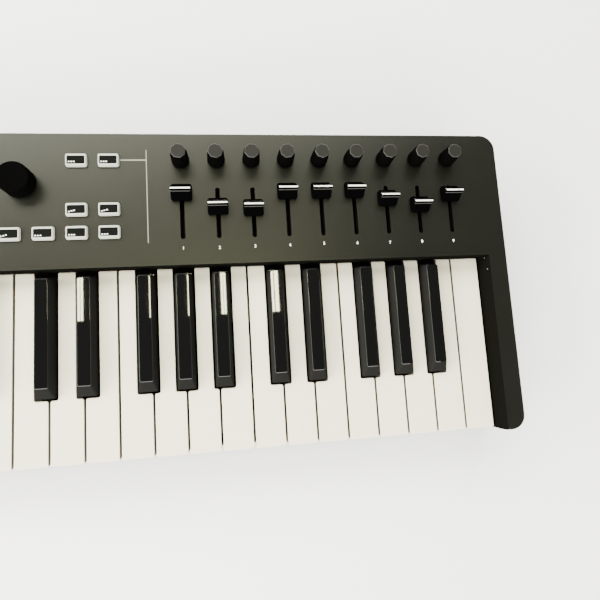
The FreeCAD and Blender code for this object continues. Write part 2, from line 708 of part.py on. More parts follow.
def rear_sockets():
    """The data socket, the five-pole socket and two pedal jacks, on the socket board."""
    board = socket_z - 12.0 + board_thick
    face = rear_y + 0.4
    inner = rear_y - wall - 0.5
    parts = []
    for x, radius in socket_places():
        body = block(x, rear_y - wall - 8.5, 2 * radius + 2.0, 16.0, board, socket_z + radius + 1.0)
        body = join([body, rod_y(inner - 1, face, x, socket_z, radius)])
        if radius == midi_radius:
            pins = [rod_y(face - 6.0, face + 1, x + 5.0 * math.cos(math.radians(turn)),
                          socket_z + 5.0 * math.sin(math.radians(turn)), 0.75) for turn in (0, 45, 90, 135, 180)]
            ring = rod_y(face - 0.8, face + 1, x, socket_z, 7.2).cut(rod_y(face - 0.8, face + 1, x, socket_z, 6.6))
            parts.append(body.cut(pins + [ring]))
        else:
            parts.append(body.cut(rod_y(face - jack_depth, face + 1, x, socket_z, jack_bore)))
    x = -case_half + usb_inset
    shell = box(x - 4.47, x + 4.47, rear_y - wall - 7.0, rear_y - 0.3, socket_z - 1.63, socket_z + 1.63)
    shell = shell.makeFillet(1.5, [e for e in shell.Edges if e.BoundBox.YLength > 2])
    mouth = box(x - 4.1, x + 4.1, rear_y - wall - 5.5, rear_y + 1, socket_z - 1.27, socket_z + 1.27)
    mouth = mouth.makeFillet(1.2, [e for e in mouth.Edges if e.BoundBox.YLength > 2])
    tongue = box(x - 3.3, x + 3.3, rear_y - wall - 5.5, rear_y - 1.0, socket_z - 0.35, socket_z + 0.35)
    stand = box(x - 4.0, x + 4.0, rear_y - wall - 7.0, rear_y - wall - 1.5, board, socket_z - 1.5)
    parts.append(join([shell.cut(mouth), tongue, stand]))
    return parts


# ---- every node -----------------------------------------------------------------------------
nodes = {
    "top_case": [top_case()],
    "bottom_case": [bottom_case()],
    "keybed_frame": [keybed_frame()],
    "key_pivot_rod": [rod_x(-keys_half + 1.0, keys_half - 1.0, pivot_y, pivot_z, rod_radius)],
    "key_cushions": key_cushions(),
    "key_springs": key_springs(),
    "circuit_boards": circuit_boards(),
    "control_pots": control_pots(),
    "rear_sockets": rear_sockets(),
    "display_module": display_module(),
    "rubber_feet": [post(x, y, foot_radius, 0, floor_z + foot_recess) for x, y in foot_places],
    "case_screws": screws(),
    "wheel_bracket": wheel_bracket(),
    "pitch_wheel": wheel(wheel_x[0], 0.0),
    "mod_wheel": wheel(wheel_x[1], 25.0),
    "main_encoder": main_encoder(),
    "pads": pads(),
    "other_buttons": [button(x, y) for x, y in other_buttons],
    "low_white_keys": [white_key(i) for i in range(lone_whites[0])],
    "low_black_keys": [black_key(i) for i in range(lone_blacks[0]) if has_black(i)],
}
knob_turns = (14.0, 8.0, 17.0, 30.0, 4.0, 25.0, 11.0, 38.0, 20.0)
for i in range(column_count):
    nodes["knob_%d" % (i + 1)] = knob(column_x[i], knob_y, knob_turns[i])
    nodes["fader_cap_%d" % (i + 1)] = fader_cap(i)
for i in range(3):
    nodes["button_%d" % (i + 1)] = [button(button_x, row_y[i])]
for i in lone_whites:
    nodes[white_name(i)] = [white_key(i)]
for i in lone_blacks:
    nodes[black_name(i)] = [black_key(i)]

os.makedirs("parts", exist_ok=True)
for name, solids in nodes.items():
    shape = solids[0] if len(solids) == 1 else Part.makeCompound(solids)
    shape.exportStep("parts/%s.step" % name)
print(len(nodes), "nodes, width %.1f, depth %.1f, top %.1f" % (2 * case_half, case_depth, panel_z + knob_height))
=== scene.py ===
"""Looks of a 49-note keyboard controller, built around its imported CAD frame.

All lengths are in metres in the row frame: +X to the high notes, +Y to the rear, +Z up.
"""
import logging
import math
from dataclasses import dataclass, field
from enum import Enum
from typing import Sequence

import bmesh
import bpy
import numpy as np
from mathutils import Matrix, Vector


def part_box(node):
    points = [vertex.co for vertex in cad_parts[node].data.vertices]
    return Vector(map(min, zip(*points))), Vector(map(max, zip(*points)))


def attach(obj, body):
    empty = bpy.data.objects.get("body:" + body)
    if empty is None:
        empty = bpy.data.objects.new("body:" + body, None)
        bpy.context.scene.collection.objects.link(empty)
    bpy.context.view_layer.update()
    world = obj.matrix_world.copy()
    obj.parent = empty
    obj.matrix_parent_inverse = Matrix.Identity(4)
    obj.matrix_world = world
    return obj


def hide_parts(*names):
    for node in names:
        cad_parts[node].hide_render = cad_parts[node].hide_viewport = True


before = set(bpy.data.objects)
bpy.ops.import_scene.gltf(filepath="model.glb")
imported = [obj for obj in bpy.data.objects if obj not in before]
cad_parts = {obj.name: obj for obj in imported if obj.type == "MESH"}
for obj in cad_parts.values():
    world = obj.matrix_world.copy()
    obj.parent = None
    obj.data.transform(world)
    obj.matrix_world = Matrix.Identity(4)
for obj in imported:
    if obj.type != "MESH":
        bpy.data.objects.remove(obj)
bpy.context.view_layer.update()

log = logging.getLogger("keyboard")
MM = 0.001
WHITE_NOTES = "cdefgab"
COLUMNS = 9  # of knobs and faders
SHAFT_RADIUS = 3.0 * MM
FRONT_WALL = 6.5 * MM  # the panel's front edge stands this far ahead of the cushions' rear


# ---- surfaces -------------------------------------------------------------------------------
@dataclass
class Surface:
    """Points and faces of one or more closed shells.

    Attributes:
        points: An (n, 3) array of places.
        faces: Corner numbers of each face, anticlockwise seen from outside.
        finish: The finish number of each face.
    """

    points: np.ndarray
    faces: list[tuple[int, ...]]
    finish: list[int]

    def painted(self, number: int) -> "Surface":
        """Returns the same surface with every face in finish number."""
        return Surface(self.points, self.faces, [number] * len(self.faces))

    def moved(self, x: float = 0.0, y: float = 0.0, z: float = 0.0) -> "Surface":
        """Returns the surface shifted by x, y and z."""
        return Surface(self.points + np.array([x, y, z]), self.faces, self.finish)

    def turned(self, matrix: Matrix) -> "Surface":
        """Returns the surface turned by a rotation matrix."""
        return Surface(self.points @ np.array(matrix.to_3x3()).T, self.faces, self.finish)


def combined(surfaces: Sequence[Surface]) -> Surface:
    """Joins surfaces into one list of points and faces.

    Args:
        surfaces: The surfaces, each closed in itself.

    Returns:
        One surface that holds them all.
    """
    starts = np.cumsum([0] + [len(s.points) for s in surfaces[:-1]])
    faces = [tuple(corner + start for corner in face)
             for s, start in zip(surfaces, starts.tolist()) for face in s.faces]
    finish = [number for s in surfaces for number in s.finish]
    return Surface(np.vstack([s.points for s in surfaces]), faces, finish)


def loft(rings: np.ndarray, closed_ends: bool = True) -> Surface:
    """Skins a stack of rings: point (i, j) is place j round ring i.

    Args:
        rings: An (m, n, 3) array; each ring runs anticlockwise about the way the stack runs.
        closed_ends: True to close both ends with a flat face.

    Returns:
        The skin, facing outwards.
    """
    count, around = rings.shape[:2]
    lower = np.arange((count - 1) * around).reshape(count - 1, around)
    ahead = np.roll(lower, -1, axis=1)
    quads = np.stack([lower, ahead, ahead + around, lower + around], axis=-1).reshape(-1, 4)
    faces = [tuple(quad) for quad in quads.tolist()]
    if closed_ends:
        faces.append(tuple(range(around - 1, -1, -1)))
        faces.append(tuple(range((count - 1) * around, count * around)))
    return Surface(rings.reshape(-1, 3), faces, [0] * len(faces))


def inset_corners(corners: np.ndarray, inset: float) -> np.ndarray:
    """Moves a polygon's sides inwards by inset, keeping its corners mitred.

    Each corner moves along the sum of its two sides' outward normals, divided by one plus their
    product, which keeps both sides parallel to where they were.
    """
    ahead = np.roll(corners, -1, axis=0) - corners
    ahead /= np.linalg.norm(ahead, axis=1, keepdims=True)
    out_next = np.stack([ahead[:, 1], -ahead[:, 0]], axis=1)
    out_last = np.roll(out_next, 1, axis=0)
    share = 1.0 + np.sum(out_next * out_last, axis=1, keepdims=True)
    return corners - inset * (out_next + out_last) / share


def rounded_corners(corners: np.ndarray, radii: np.ndarray, steps: int) -> np.ndarray:
    """Turns each corner of an anticlockwise polygon into an arc.

    The arc's centre lies one radius along the side's normal from where the arc starts, and the
    arc's points are the centre plus the normal turned through the corner's angle.

    Args:
        corners: An (n, 2) array.
        radii: The n radii.
        steps: Spans in each arc.

    Returns:
        An (n * (steps + 1), 2) array.
    """
    into = corners - np.roll(corners, 1, axis=0)
    into /= np.linalg.norm(into, axis=1, keepdims=True)
    out = np.roll(into, -1, axis=0)
    bend = np.arctan2(into[:, 0] * out[:, 1] - into[:, 1] * out[:, 0], np.sum(into * out, axis=1))
    side = np.where(bend < 0, -1.0, 1.0)
    start_angle = np.arctan2(-into[:, 0], into[:, 1])
    trim = radii * np.tan(np.abs(bend) / 2)
    start = corners - into * trim[:, None]
    normal = np.stack([np.cos(start_angle), np.sin(start_angle)], axis=1)
    centre = start - (side * radii)[:, None] * normal
    angle = start_angle[:, None] + bend[:, None] * np.linspace(0.0, 1.0, steps + 1)[None, :]
    arc = np.stack([np.cos(angle), np.sin(angle)], axis=-1)
    return (centre[:, None, :] + (side * radii)[:, None, None] * arc).reshape(-1, 2)


def plan_ring(corners: np.ndarray, radii: np.ndarray, inset: float, z: float | np.ndarray,
              steps: int = 4) -> np.ndarray:
    """One level ring of a moulded piece: its plan outline moved inwards and set at a height.

    Args:
        corners: The plan's corners, anticlockwise.
        radii: Each corner's radius before the inset.
        inset: How far the outline moves inwards.
        z: The height, one for the ring or one for each corner.
        steps: Spans in each corner's arc.

    Returns:
        An (n * (steps + 1), 3) array.
    """
    into = corners - np.roll(corners, 1, axis=0)
    out = np.roll(into, -1, axis=0)
    side = np.sign(into[:, 0] * out[:, 1] - into[:, 1] * out[:, 0])
    tight = np.maximum(radii - side * inset, 0.08 * MM)
    flat = rounded_corners(inset_corners(corners, inset), tight, steps)
    heights = np.repeat(np.broadcast_to(z, (len(corners),)), steps + 1)
    return np.column_stack([flat, heights])


def edge_rings(corners: np.ndarray, radii: np.ndarray, top: float, edge: float) -> list[np.ndarray]:
    """Rings that carry a wall's top edge over a quarter round and onto the flat."""
    turn = np.linspace(0.0, math.pi / 2, 5)
    rings = [plan_ring(corners, radii, edge * (1 - math.cos(a)), top - edge * (1 - math.sin(a)))
             for a in turn]
    return rings + [plan_ring(corners, radii, edge * 1.25, top)]


def rectangle(x: float, y: float, width: float, depth: float) -> np.ndarray:
    """The four corners of a rectangle about (x, y), anticlockwise."""
    w, d = width / 2, depth / 2
    return np.array([[x - w, y - d], [x + w, y - d], [x + w, y + d], [x - w, y + d]])


def moulded_block(corners: np.ndarray, radius: float, low: float, top: float, edge: float) -> Surface:
    """A flat-topped block with rounded upright corners and a rounded top edge."""
    radii = np.full(len(corners), radius)
    rings = [plan_ring(corners, radii, 0.3 * edge, low), plan_ring(corners, radii, 0.0, low + 0.3 * edge)]
    return loft(np.array(rings + edge_rings(corners, radii, top, edge)))


def shaft(low: float, top: float) -> Surface:
    """A control's shaft about Z, its lower end bevelled."""
    bevel = 0.4 * MM
    return lathe([(SHAFT_RADIUS - bevel, low), (SHAFT_RADIUS, low + bevel), (SHAFT_RADIUS, top)], 32)


def lathe(profile: Sequence[tuple[float, float]], around: int = 64) -> Surface:
    """Turns a (radius, height) profile about Z; the profile runs upwards on its outer side."""
    radius, height = np.array(profile, float).T
    angle = np.linspace(0.0, 2 * math.pi, around, endpoint=False)
    rings = np.stack([radius[:, None] * np.cos(angle), radius[:, None] * np.sin(angle),
                      np.repeat(height[:, None], around, axis=1)], axis=-1)
    return loft(rings)


# ---- finishes -------------------------------------------------------------------------------
class Sheen(Enum):
    """How glossy a moulding comes out of its tool: the roughness it starts from."""

    MATT = 0.62
    SATIN = 0.35
    SEMI_GLOSS = 0.24
    GLOSS = 0.02


class Grain(Enum):
    """Relief left by the tool, as (features a metre, height in metres)."""

    NONE = (900.0, 0.0)
    FINE = (2600.0, 0.000012)
    SPARK = (1500.0, 0.00003)
    FELT = (1900.0, 0.00025)


MOTTLE_SCALE = 18.0  # patches a metre, in every finish


def group_socket(tree: bpy.types.NodeTree, name: str, kind: str, way: str = "INPUT") -> None:
    """Adds a named socket to a node group."""
    tree.interface.new_socket(name=name, in_out=way, socket_type=kind)


class SurfaceGroup:
    """The node group that every finish shares: mottle, smudges, dust specks and tool grain.

    Attributes:
        NAME: The group's name.
        SPECK_RADIUS: A dust speck's radius, as a share of its cell.
        SPECK_RARITY: Share of the cells that hold no speck.
        SPECK_COLOR: Linear colour of dust.
        SPECK_ROUGHNESS: What a speck adds to the roughness.
        SMUDGE_SCALE: Smudges a metre.
    """

    NAME = "moulded_surface"
    SPECK_RADIUS = 0.02
    SPECK_RARITY = 0.88
    SPECK_COLOR = (0.42, 0.41, 0.36, 1.0)
    SPECK_ROUGHNESS = 0.4
    SMUDGE_SCALE = 34.0

    @classmethod
    def tree(cls) -> bpy.types.NodeTree:
        """Returns the group, building it on first use."""
        found = bpy.data.node_groups.get(cls.NAME)
        return found or cls.build()

    @classmethod
    def build(cls) -> bpy.types.NodeTree:
        """Builds the group and returns it.

        Colour is the base colour scaled by broad noise; roughness is lifted by smudges; dust is
        the middle of a few voronoi cells; the normal is a bump from fine noise.
        """
        tree = bpy.data.node_groups.new(cls.NAME, "ShaderNodeTree")
        group_socket(tree, "Color", "NodeSocketColor")
        for name in ("Roughness", "Mottle", "Mottle Scale", "Smudge", "Dust", "Dust Scale",
                     "Grain Scale", "Grain Height"):
            group_socket(tree, name, "NodeSocketFloat")
        group_socket(tree, "Color", "NodeSocketColor", "OUTPUT")
        group_socket(tree, "Roughness", "NodeSocketFloat", "OUTPUT")
        group_socket(tree, "Normal", "NodeSocketVector", "OUTPUT")
        nodes, links = tree.nodes, tree.links
        given = nodes.new("NodeGroupInput")
        result = nodes.new("NodeGroupOutput")
        place = nodes.new("ShaderNodeTexCoord")

        def noise(scale: str | float, detail: float) -> bpy.types.NodeSocket:
            """A noise texture on object coordinates."""
            node = nodes.new("ShaderNodeTexNoise")
            node.inputs["Detail"].default_value = detail
            links.new(place.outputs["Object"], node.inputs["Vector"])
            if isinstance(scale, str):
                links.new(given.outputs[scale], node.inputs["Scale"])
            else:
                node.inputs["Scale"].default_value = scale
            return node.outputs["Fac"]

        def maths(kind: str, first: bpy.types.NodeSocket, second: float | bpy.types.NodeSocket,
                  clamp: bool = False) -> bpy.types.NodeSocket:
            """A maths node on sockets or numbers."""
            node = nodes.new("ShaderNodeMath")
            node.operation = kind
            node.use_clamp = clamp
            for value, socket in zip((first, second), node.inputs):
                if isinstance(value, bpy.types.NodeSocket):
                    links.new(value, socket)
                else:
                    socket.default_value = value
            return node.outputs[0]

        broad = maths("SUBTRACT", noise("Mottle Scale", 3.0), 0.5)
        gain = maths("MULTIPLY_ADD", broad, given.outputs["Mottle"])
        gain.node.inputs[2].default_value = 1.0
        scaled = nodes.new("ShaderNodeVectorMath")
        scaled.operation = "SCALE"
        links.new(given.outputs["Color"], scaled.inputs[0])
        links.new(gain, scaled.inputs["Scale"])
        cells = nodes.new("ShaderNodeTexVoronoi")
        links.new(place.outputs["Object"], cells.inputs["Vector"])
        links.new(given.outputs["Dust Scale"], cells.inputs["Scale"])
        middle = maths("LESS_THAN", cells.outputs["Distance"], cls.SPECK_RADIUS)
        split = nodes.new("ShaderNodeSeparateColor")
        links.new(cells.outputs["Color"], split.inputs[0])
        chosen = maths("GREATER_THAN", split.outputs[0], cls.SPECK_RARITY)
        dust = maths("MULTIPLY", maths("MULTIPLY", middle, chosen), given.outputs["Dust"], True)
        mixed = nodes.new("ShaderNodeMix")
        mixed.data_type = "RGBA"
        links.new(dust, mixed.inputs["Factor"])
        links.new(scaled.outputs[0], mixed.inputs["A"])
        mixed.inputs["B"].default_value = cls.SPECK_COLOR
        links.new(mixed.outputs["Result"], result.inputs["Color"])
        film = maths("SUBTRACT", noise(cls.SMUDGE_SCALE, 4.0), 0.5)
        lift = maths("MULTIPLY", film, given.outputs["Smudge"])
        rough = maths("ADD", given.outputs["Roughness"], lift, True)
        dry = maths("MULTIPLY", dust, cls.SPECK_ROUGHNESS)
        links.new(maths("ADD", rough, dry, True), result.inputs["Roughness"])
        bump = nodes.new("ShaderNodeBump")
        bump.inputs["Strength"].default_value = 1.0
        links.new(noise("Grain Scale", 2.0), bump.inputs["Height"])
        links.new(given.outputs["Grain Height"], bump.inputs["Distance"])
        links.new(bump.outputs["Normal"], result.inputs["Normal"])
        return tree


@dataclass(frozen=True)
class Finish:
    """One material of the object.

    Attributes:
        name: The material's name.
        color: Linear base colour.
        sheen: The gloss it starts from.
        grain: The tool relief.
        metallic: 1 for bare metal.
        mottle: Share by which the colour wanders.
        smudge: How far handling changes the roughness.
        dust: Strength of the dust specks.
        dust_scale: Dust cells a metre.
        coat: Weight of a clear coat.
        subsurface: Weight of light that passes under the skin.
        specular: Strength of the skin's reflection.
        tint: Colour of the skin's reflection.
    """

    name: str
    color: tuple[float, float, float]
    sheen: Sheen = Sheen.SATIN
    grain: Grain = Grain.FINE
    metallic: float = 0.0
    mottle: float = 0.12
    smudge: float = 0.10
    dust: float = 0.0
    dust_scale: float = 70.0
    coat: float = 0.0
    subsurface: float = 0.0
    specular: float = 0.5
    tint: tuple[float, float, float] = (1.0, 1.0, 1.0)

    def material(self) -> bpy.types.Material:
        """Returns the material, building it on first use."""
        return bpy.data.materials.get(self.name) or self.build()

    def build(self) -> bpy.types.Material:
        """Builds the material: the shared surface group in front of a Principled shader."""
        material = bpy.data.materials.new(self.name)
        material.use_nodes = True
        nodes, links = material.node_tree.nodes, material.node_tree.links
        shader = next(node for node in nodes if node.type == "BSDF_PRINCIPLED")
        fixed = {"Metallic": self.metallic, "Coat Weight": self.coat, "Coat Roughness": 0.05,
                 "Subsurface Weight": self.subsurface, "Subsurface Scale": 1.0 * MM,
                 "Specular IOR Level": self.specular, "Specular Tint": (*self.tint, 1.0)}
        for name, value in fixed.items():
            shader.inputs[name].default_value = value
        surface = nodes.new("ShaderNodeGroup")
        surface.node_tree = SurfaceGroup.tree()
        features, height = self.grain.value
        given = {"Color": (*self.color, 1.0), "Roughness": self.sheen.value, "Mottle": self.mottle,
                 "Mottle Scale": MOTTLE_SCALE, "Smudge": self.smudge, "Dust": self.dust,
                 "Dust Scale": self.dust_scale, "Grain Scale": features, "Grain Height": height}
        for name, value in given.items():
            surface.inputs[name].default_value = value
        for name, socket in (("Color", "Base Color"), ("Roughness", "Roughness"), ("Normal", "Normal")):
            links.new(surface.outputs[name], shader.inputs[socket])
        return material


PANEL = Finish("panel_plastic", (0.0030, 0.0030, 0.0024), Sheen.SATIN, Grain.SPARK, dust=0.8, smudge=0.06,
               tint=(0.97, 1.0, 0.85), specular=0.31)
# The panel plastic with its reflection turned off, for the case's upright walls: a painted shade that keeps them
# dark.
PANEL_WALL_SHADE = Finish("panel_wall_painted_shade", (0.0030, 0.0030, 0.0024), Sheen.SATIN, Grain.SPARK, dust=0.8,
                    smudge=0.06, specular=0.0)
TRAY = Finish("tray_plastic", (0.0045, 0.0045, 0.0042), Sheen.MATT, Grain.SPARK, dust=0.4, specular=0.0)
IVORY = Finish("white_key_plastic", (0.82, 0.76, 0.60), Sheen.SEMI_GLOSS, mottle=0.03, smudge=0.08,
               subsurface=0.08)
# The white keys' sides and insides in a dark grey ivory: painted shade for the gaps between the keys.
WHITE_KEY_SHADE = Finish("white_key_side_painted_shade", (0.16, 0.148, 0.125), Sheen.MATT, specular=0.0)
EBONY = Finish("black_key_plastic", (0.002, 0.002, 0.002), Sheen.GLOSS, Grain.NONE, mottle=0.2, smudge=0.03,
               dust=0.3, dust_scale=90.0, specular=0.3)
# The black keys' sides and insides: satin, with the reflection turned off, a painted shade that keeps them dark.
EBONY_SHADE = Finish("black_key_side_painted_shade", (0.0095, 0.0095, 0.0092), Sheen.SATIN, specular=0.0)
# Knob plastic made darker and with its reflection turned off: painted shade on the knobs' sides; it is also the
# dark paint of the whole selector and of the buttons' flange, frame foot and groove floor.
KNOB_SHADED_BLACK = Finish("knob_black_painted_shade", (0.0013, 0.0013, 0.0013), Sheen.SATIN, specular=0.0)
# The knobs' tops, painted lighter than their sides as if lit from above.
KNOB_TOP_LIT = Finish("knob_top_painted_light", (0.0065, 0.0065, 0.0052), Sheen.MATT, specular=0.15)
CAP = Finish("fader_cap_plastic", (0.0009, 0.0009, 0.0010), Sheen.SATIN, specular=0.0)
# A painted highlight on the bevel round a knob's top.
KNOB_BEVEL_HIGHLIGHT = Finish("knob_bevel_painted_highlight", (0.030, 0.030, 0.027), Sheen.SATIN, specular=0.1)
# A painted highlight along the fader cap's ledge.
CAP_LEDGE_HIGHLIGHT = Finish("fader_cap_ledge_painted_highlight", (0.05, 0.05, 0.048), Sheen.SATIN)
INK = Finish("white_ink", (0.86, 0.86, 0.82), Sheen.MATT, mottle=0.06)
PALE_INK = Finish("grey_ink", (0.24, 0.24, 0.19), Sheen.MATT, mottle=0.10)
MILKY = Finish("milky_button_plastic", (0.40, 0.41, 0.37), Sheen.SATIN, mottle=0.05, subsurface=0.25,
               specular=0.2)
FACE = Finish("button_face_plastic", (0.0055, 0.0060, 0.0055), Sheen.SATIN, specular=0.0)
SILICONE = Finish("pad_silicone", (0.0075, 0.0075, 0.0072), Sheen.MATT, Grain.SPARK, dust=0.5, specular=0.10)
SOFT_TOUCH = Finish("wheel_soft_touch", (0.0055, 0.0055, 0.0055), Sheen.MATT, Grain.FINE, specular=0.06)
WINDOW = Finish("display_window", (0.004, 0.004, 0.005), Sheen.GLOSS, Grain.NONE, coat=1.0)
FRAME = Finish("frame_plastic", (0.020, 0.020, 0.020), Sheen.MATT, specular=0.1)
STEEL = Finish("spring_steel", (0.52, 0.52, 0.53), Sheen.SEMI_GLOSS, metallic=1.0)
ZINC = Finish("zinc_screw", (0.34, 0.34, 0.35), Sheen.SATIN, metallic=1.0)
FELT = Finish("stop_felt", (0.012, 0.012, 0.013), Sheen.MATT, Grain.FELT, mottle=0.5, specular=0.0)
BOARD = Finish("board_laminate", (0.012, 0.07, 0.03), Sheen.SEMI_GLOSS, mottle=0.3)
COMPONENT = Finish("component_body", (0.003, 0.003, 0.003), Sheen.MATT, specular=0.02)
SOCKET = Finish("socket_moulding", (0.010, 0.010, 0.010), Sheen.SATIN, specular=0.08)
RUBBER = Finish("foot_rubber", (0.006, 0.006, 0.006), Sheen.MATT, Grain.SPARK, specular=0.05)


# ---- pieces ---------------------------------------------------------------------------------
def piece(name: str, surface: Surface, finishes: Sequence[Finish] | Finish, body: str,
          replaces: Sequence[str] = (), crease_deg: float = 32.0) -> bpy.types.Object:
    """Makes a finished piece from a surface and hangs it on its body.

    Args:
        name: The piece's name.
        surface: Its shape, in place.
        finishes: Its finish, or one for each finish number.
        body: The CAD body that it rides on.
        replaces: CAD nodes that it stands for.
        crease_deg: Edges sharper than this stay sharp.

    Returns:
        The object.
    """
    mesh = bpy.data.meshes.new(name)
    mesh.from_pydata(surface.points.tolist(), [], surface.faces)
    for finish in [finishes] if isinstance(finishes, Finish) else finishes:
        mesh.materials.append(finish.material())
    mesh.polygons.foreach_set("material_index", surface.finish)
    mesh.polygons.foreach_set("use_smooth", [True] * len(mesh.polygons))
    work = bmesh.new()
    work.from_mesh(mesh)
    bmesh.ops.remove_doubles(work, verts=work.verts, dist=1e-6)
    work.to_mesh(mesh)
    work.free()
    mesh.set_sharp_from_angle(angle=math.radians(crease_deg))
    made = bpy.data.objects.new(name, mesh)
    bpy.context.scene.collection.objects.link(made)
    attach(made, body)
    if replaces:
        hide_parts(*replaces)
    log.info("%s on %s: %d faces", name, body, len(mesh.polygons))
    return made


def dress(node: str, finish: Finish) -> None:
    """Gives a CAD node its finish."""
    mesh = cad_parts[node].data
    mesh.materials.clear()
    mesh.materials.append(finish.material())
    log.info("%s finished in %s", node, finish.name)


def middle(node: str) -> Vector:
    """The middle of a CAD node's box."""
    low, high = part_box(node)
    return (low + high) / 2


def panel_front() -> float:
    """Y of the panel's front edge."""
    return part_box("key_cushions")[1].y - FRONT_WALL


def panel_top() -> float:
    """Z of the panel."""
    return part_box("top_case")[1].z


def mesh_points(mesh: bpy.types.Mesh) -> np.ndarray:
    """A mesh's vertices as an (n, 3) array."""
    points = np.empty(len(mesh.vertices) * 3)
    mesh.vertices.foreach_get("co", points)
    return points.reshape(-1, 3)


# ---- the case -------------------------------------------------------------------------------
@dataclass
class Case:
    """The shells, what is inside them and what is under them.

    Attributes:
        finishes: The finish of each CAD node that stays.
        foot_edge: Rounding of a foot's lower rim.
        foot_radius: Radius of a foot.
        wall_rise: A face of the top case is a wall where its unit normal rises less than this; the walls are in
            painted shade.
    """

    finishes: dict[str, Finish] = field(default_factory=lambda: {
        "bottom_case": TRAY, "keybed_frame": FRAME, "key_pivot_rod": STEEL, "key_cushions": FELT,
        "key_springs": STEEL, "circuit_boards": BOARD, "control_pots": COMPONENT,
        "rear_sockets": SOCKET, "case_screws": ZINC, "wheel_bracket": FRAME})
    foot_edge: float = 0.8 * MM
    foot_radius: float = 8.0 * MM
    wall_rise: float = 0.6

    def top_shell(self) -> None:
        """The top case in the CAD node's own triangles, its walls in a copy of the panel plastic with its
        reflection turned off, a painted shade that keeps them dark.

        A triangle's normal is the cross product of two of its edges over its length.
        """
        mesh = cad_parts["top_case"].data
        points = mesh_points(mesh)
        triangles = np.empty(len(mesh.loops), int)
        mesh.loops.foreach_get("vertex_index", triangles)
        triangles = triangles.reshape(-1, 3)
        first, second, third = points[triangles.T]
        normal = np.cross(second - first, third - first)
        rise = normal[:, 2] / np.maximum(np.linalg.norm(normal, axis=1), 1e-15)
        # Walls take finish 1, the panel plastic without reflection: painted shade.
        finish = (rise < self.wall_rise).astype(int).tolist()
        skin = Surface(points, [tuple(corners) for corners in triangles.tolist()], finish)
        piece("top_case_skin", skin, [PANEL, PANEL_WALL_SHADE], "case", ["top_case"], 3)

    def build(self) -> None:
        """Dresses the CAD nodes, and makes the top case's skin and the feet."""
        self.top_shell()
        for node, finish in self.finishes.items():
            dress(node, finish)
        low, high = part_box("rubber_feet")
        edge, radius = self.foot_edge, self.foot_radius
        turn = np.linspace(-math.pi / 2, 0.0, 6)
        profile = [(radius - edge + edge * math.cos(a), edge + edge * math.sin(a)) for a in turn]
        foot = lathe([(radius * 0.55, 0.25 * MM), (radius * 0.6, 0.0)] + profile + [(radius, high.z)], 48)
        xs = (low.x + radius, 0.0, high.x - radius)
        ys = (low.y + radius, high.y - radius)
        feet = combined([foot.moved(x, y) for x in xs for y in ys])
        piece("rubber_feet_turned", feet, RUBBER, "case", ["rubber_feet"])


@dataclass
class PanelPrint:
    """Ink on the panel: the column numbers and the divider with its short branch.

    Attributes:
        film: Thickness of the ink.
        digit_height: Height of a numeral.
        digit_y: Numerals, from the panel's front edge.
        line_width: Width of the divider.
        divider_gap: Divider to the first column.
        divider_span: The divider's ends, from the panel's front edge.
        branch_y: The branch, from the panel's front edge.
        branch_width: Width of the branch.
        branch_start: The branch's near end, from the middle of the third button.
        corner: Rounding of a line's ends.
        capital: A capital's share of the letters' size.
        swell: How far the ink spreads beyond a numeral's outline.
    """

    film: float = 0.04 * MM
    digit_height: float = 2.3 * MM
    digit_y: float = 12.4 * MM
    line_width: float = 0.50 * MM
    divider_gap: float = 24.4 * MM
    divider_span: tuple[float, float] = (16.7 * MM, 86.5 * MM)
    branch_y: float = 78.8 * MM
    branch_width: float = 0.8 * MM
    branch_start: float = 7.8 * MM
    corner: float = 0.15 * MM
    capital: float = 0.72
    swell: float = 0.03 * MM

    def strip(self, x0: float, x1: float, y0: float, y1: float, z: float) -> Surface:
        """A thin printed bar."""
        corners = rectangle((x0 + x1) / 2, (y0 + y1) / 2, x1 - x0, y1 - y0)
        radii = np.full(4, self.corner)
        return loft(np.array([plan_ring(corners, radii, 0.0, level) for level in (z, z + self.film)]))

    def numeral(self, text: str, x: float, y: float, z: float) -> Surface:
        """A numeral about (x, y), as a thin closed solid."""
        curve = bpy.data.curves.new("numeral", "FONT")
        curve.body = text
        curve.size = self.digit_height / self.capital
        curve.align_x = "CENTER"
        curve.extrude = self.film / 2
        curve.offset = self.swell
        holder = bpy.data.objects.new("numeral", curve)
        mesh = bpy.data.meshes.new_from_object(holder)
        points = mesh_points(mesh)
        points += np.array([x, y - points[:, 1].mean(), z + self.film / 2])
        faces = [tuple(face.vertices) for face in mesh.polygons]
        bpy.data.objects.remove(holder)
        bpy.data.curves.remove(curve)
        bpy.data.meshes.remove(mesh)
        return Surface(points, faces, [0] * len(faces))

    def build(self, panel: "Panel") -> None:
        """Prints the numerals and the lines."""
        z = panel.z
        marks = [self.numeral(str(i + 1), x, panel.front + self.digit_y, z)
                 for i, x in enumerate(panel.columns)]
        piece("column_numbers", combined(marks), INK, "case", crease_deg=60)
        x = panel.columns[0] - self.divider_gap
        low, high = self.divider_span
        half = self.line_width / 2
        y, rise = panel.front + self.branch_y, self.branch_width / 2
        start = middle("button_3").x + self.branch_start
        lines = [self.strip(x - half, x + half, panel.front + low, panel.front + high, z),
                 self.strip(start, x - half, y - rise, y + rise, z)]
        piece("divider_lines", combined(lines), PALE_INK, "case")


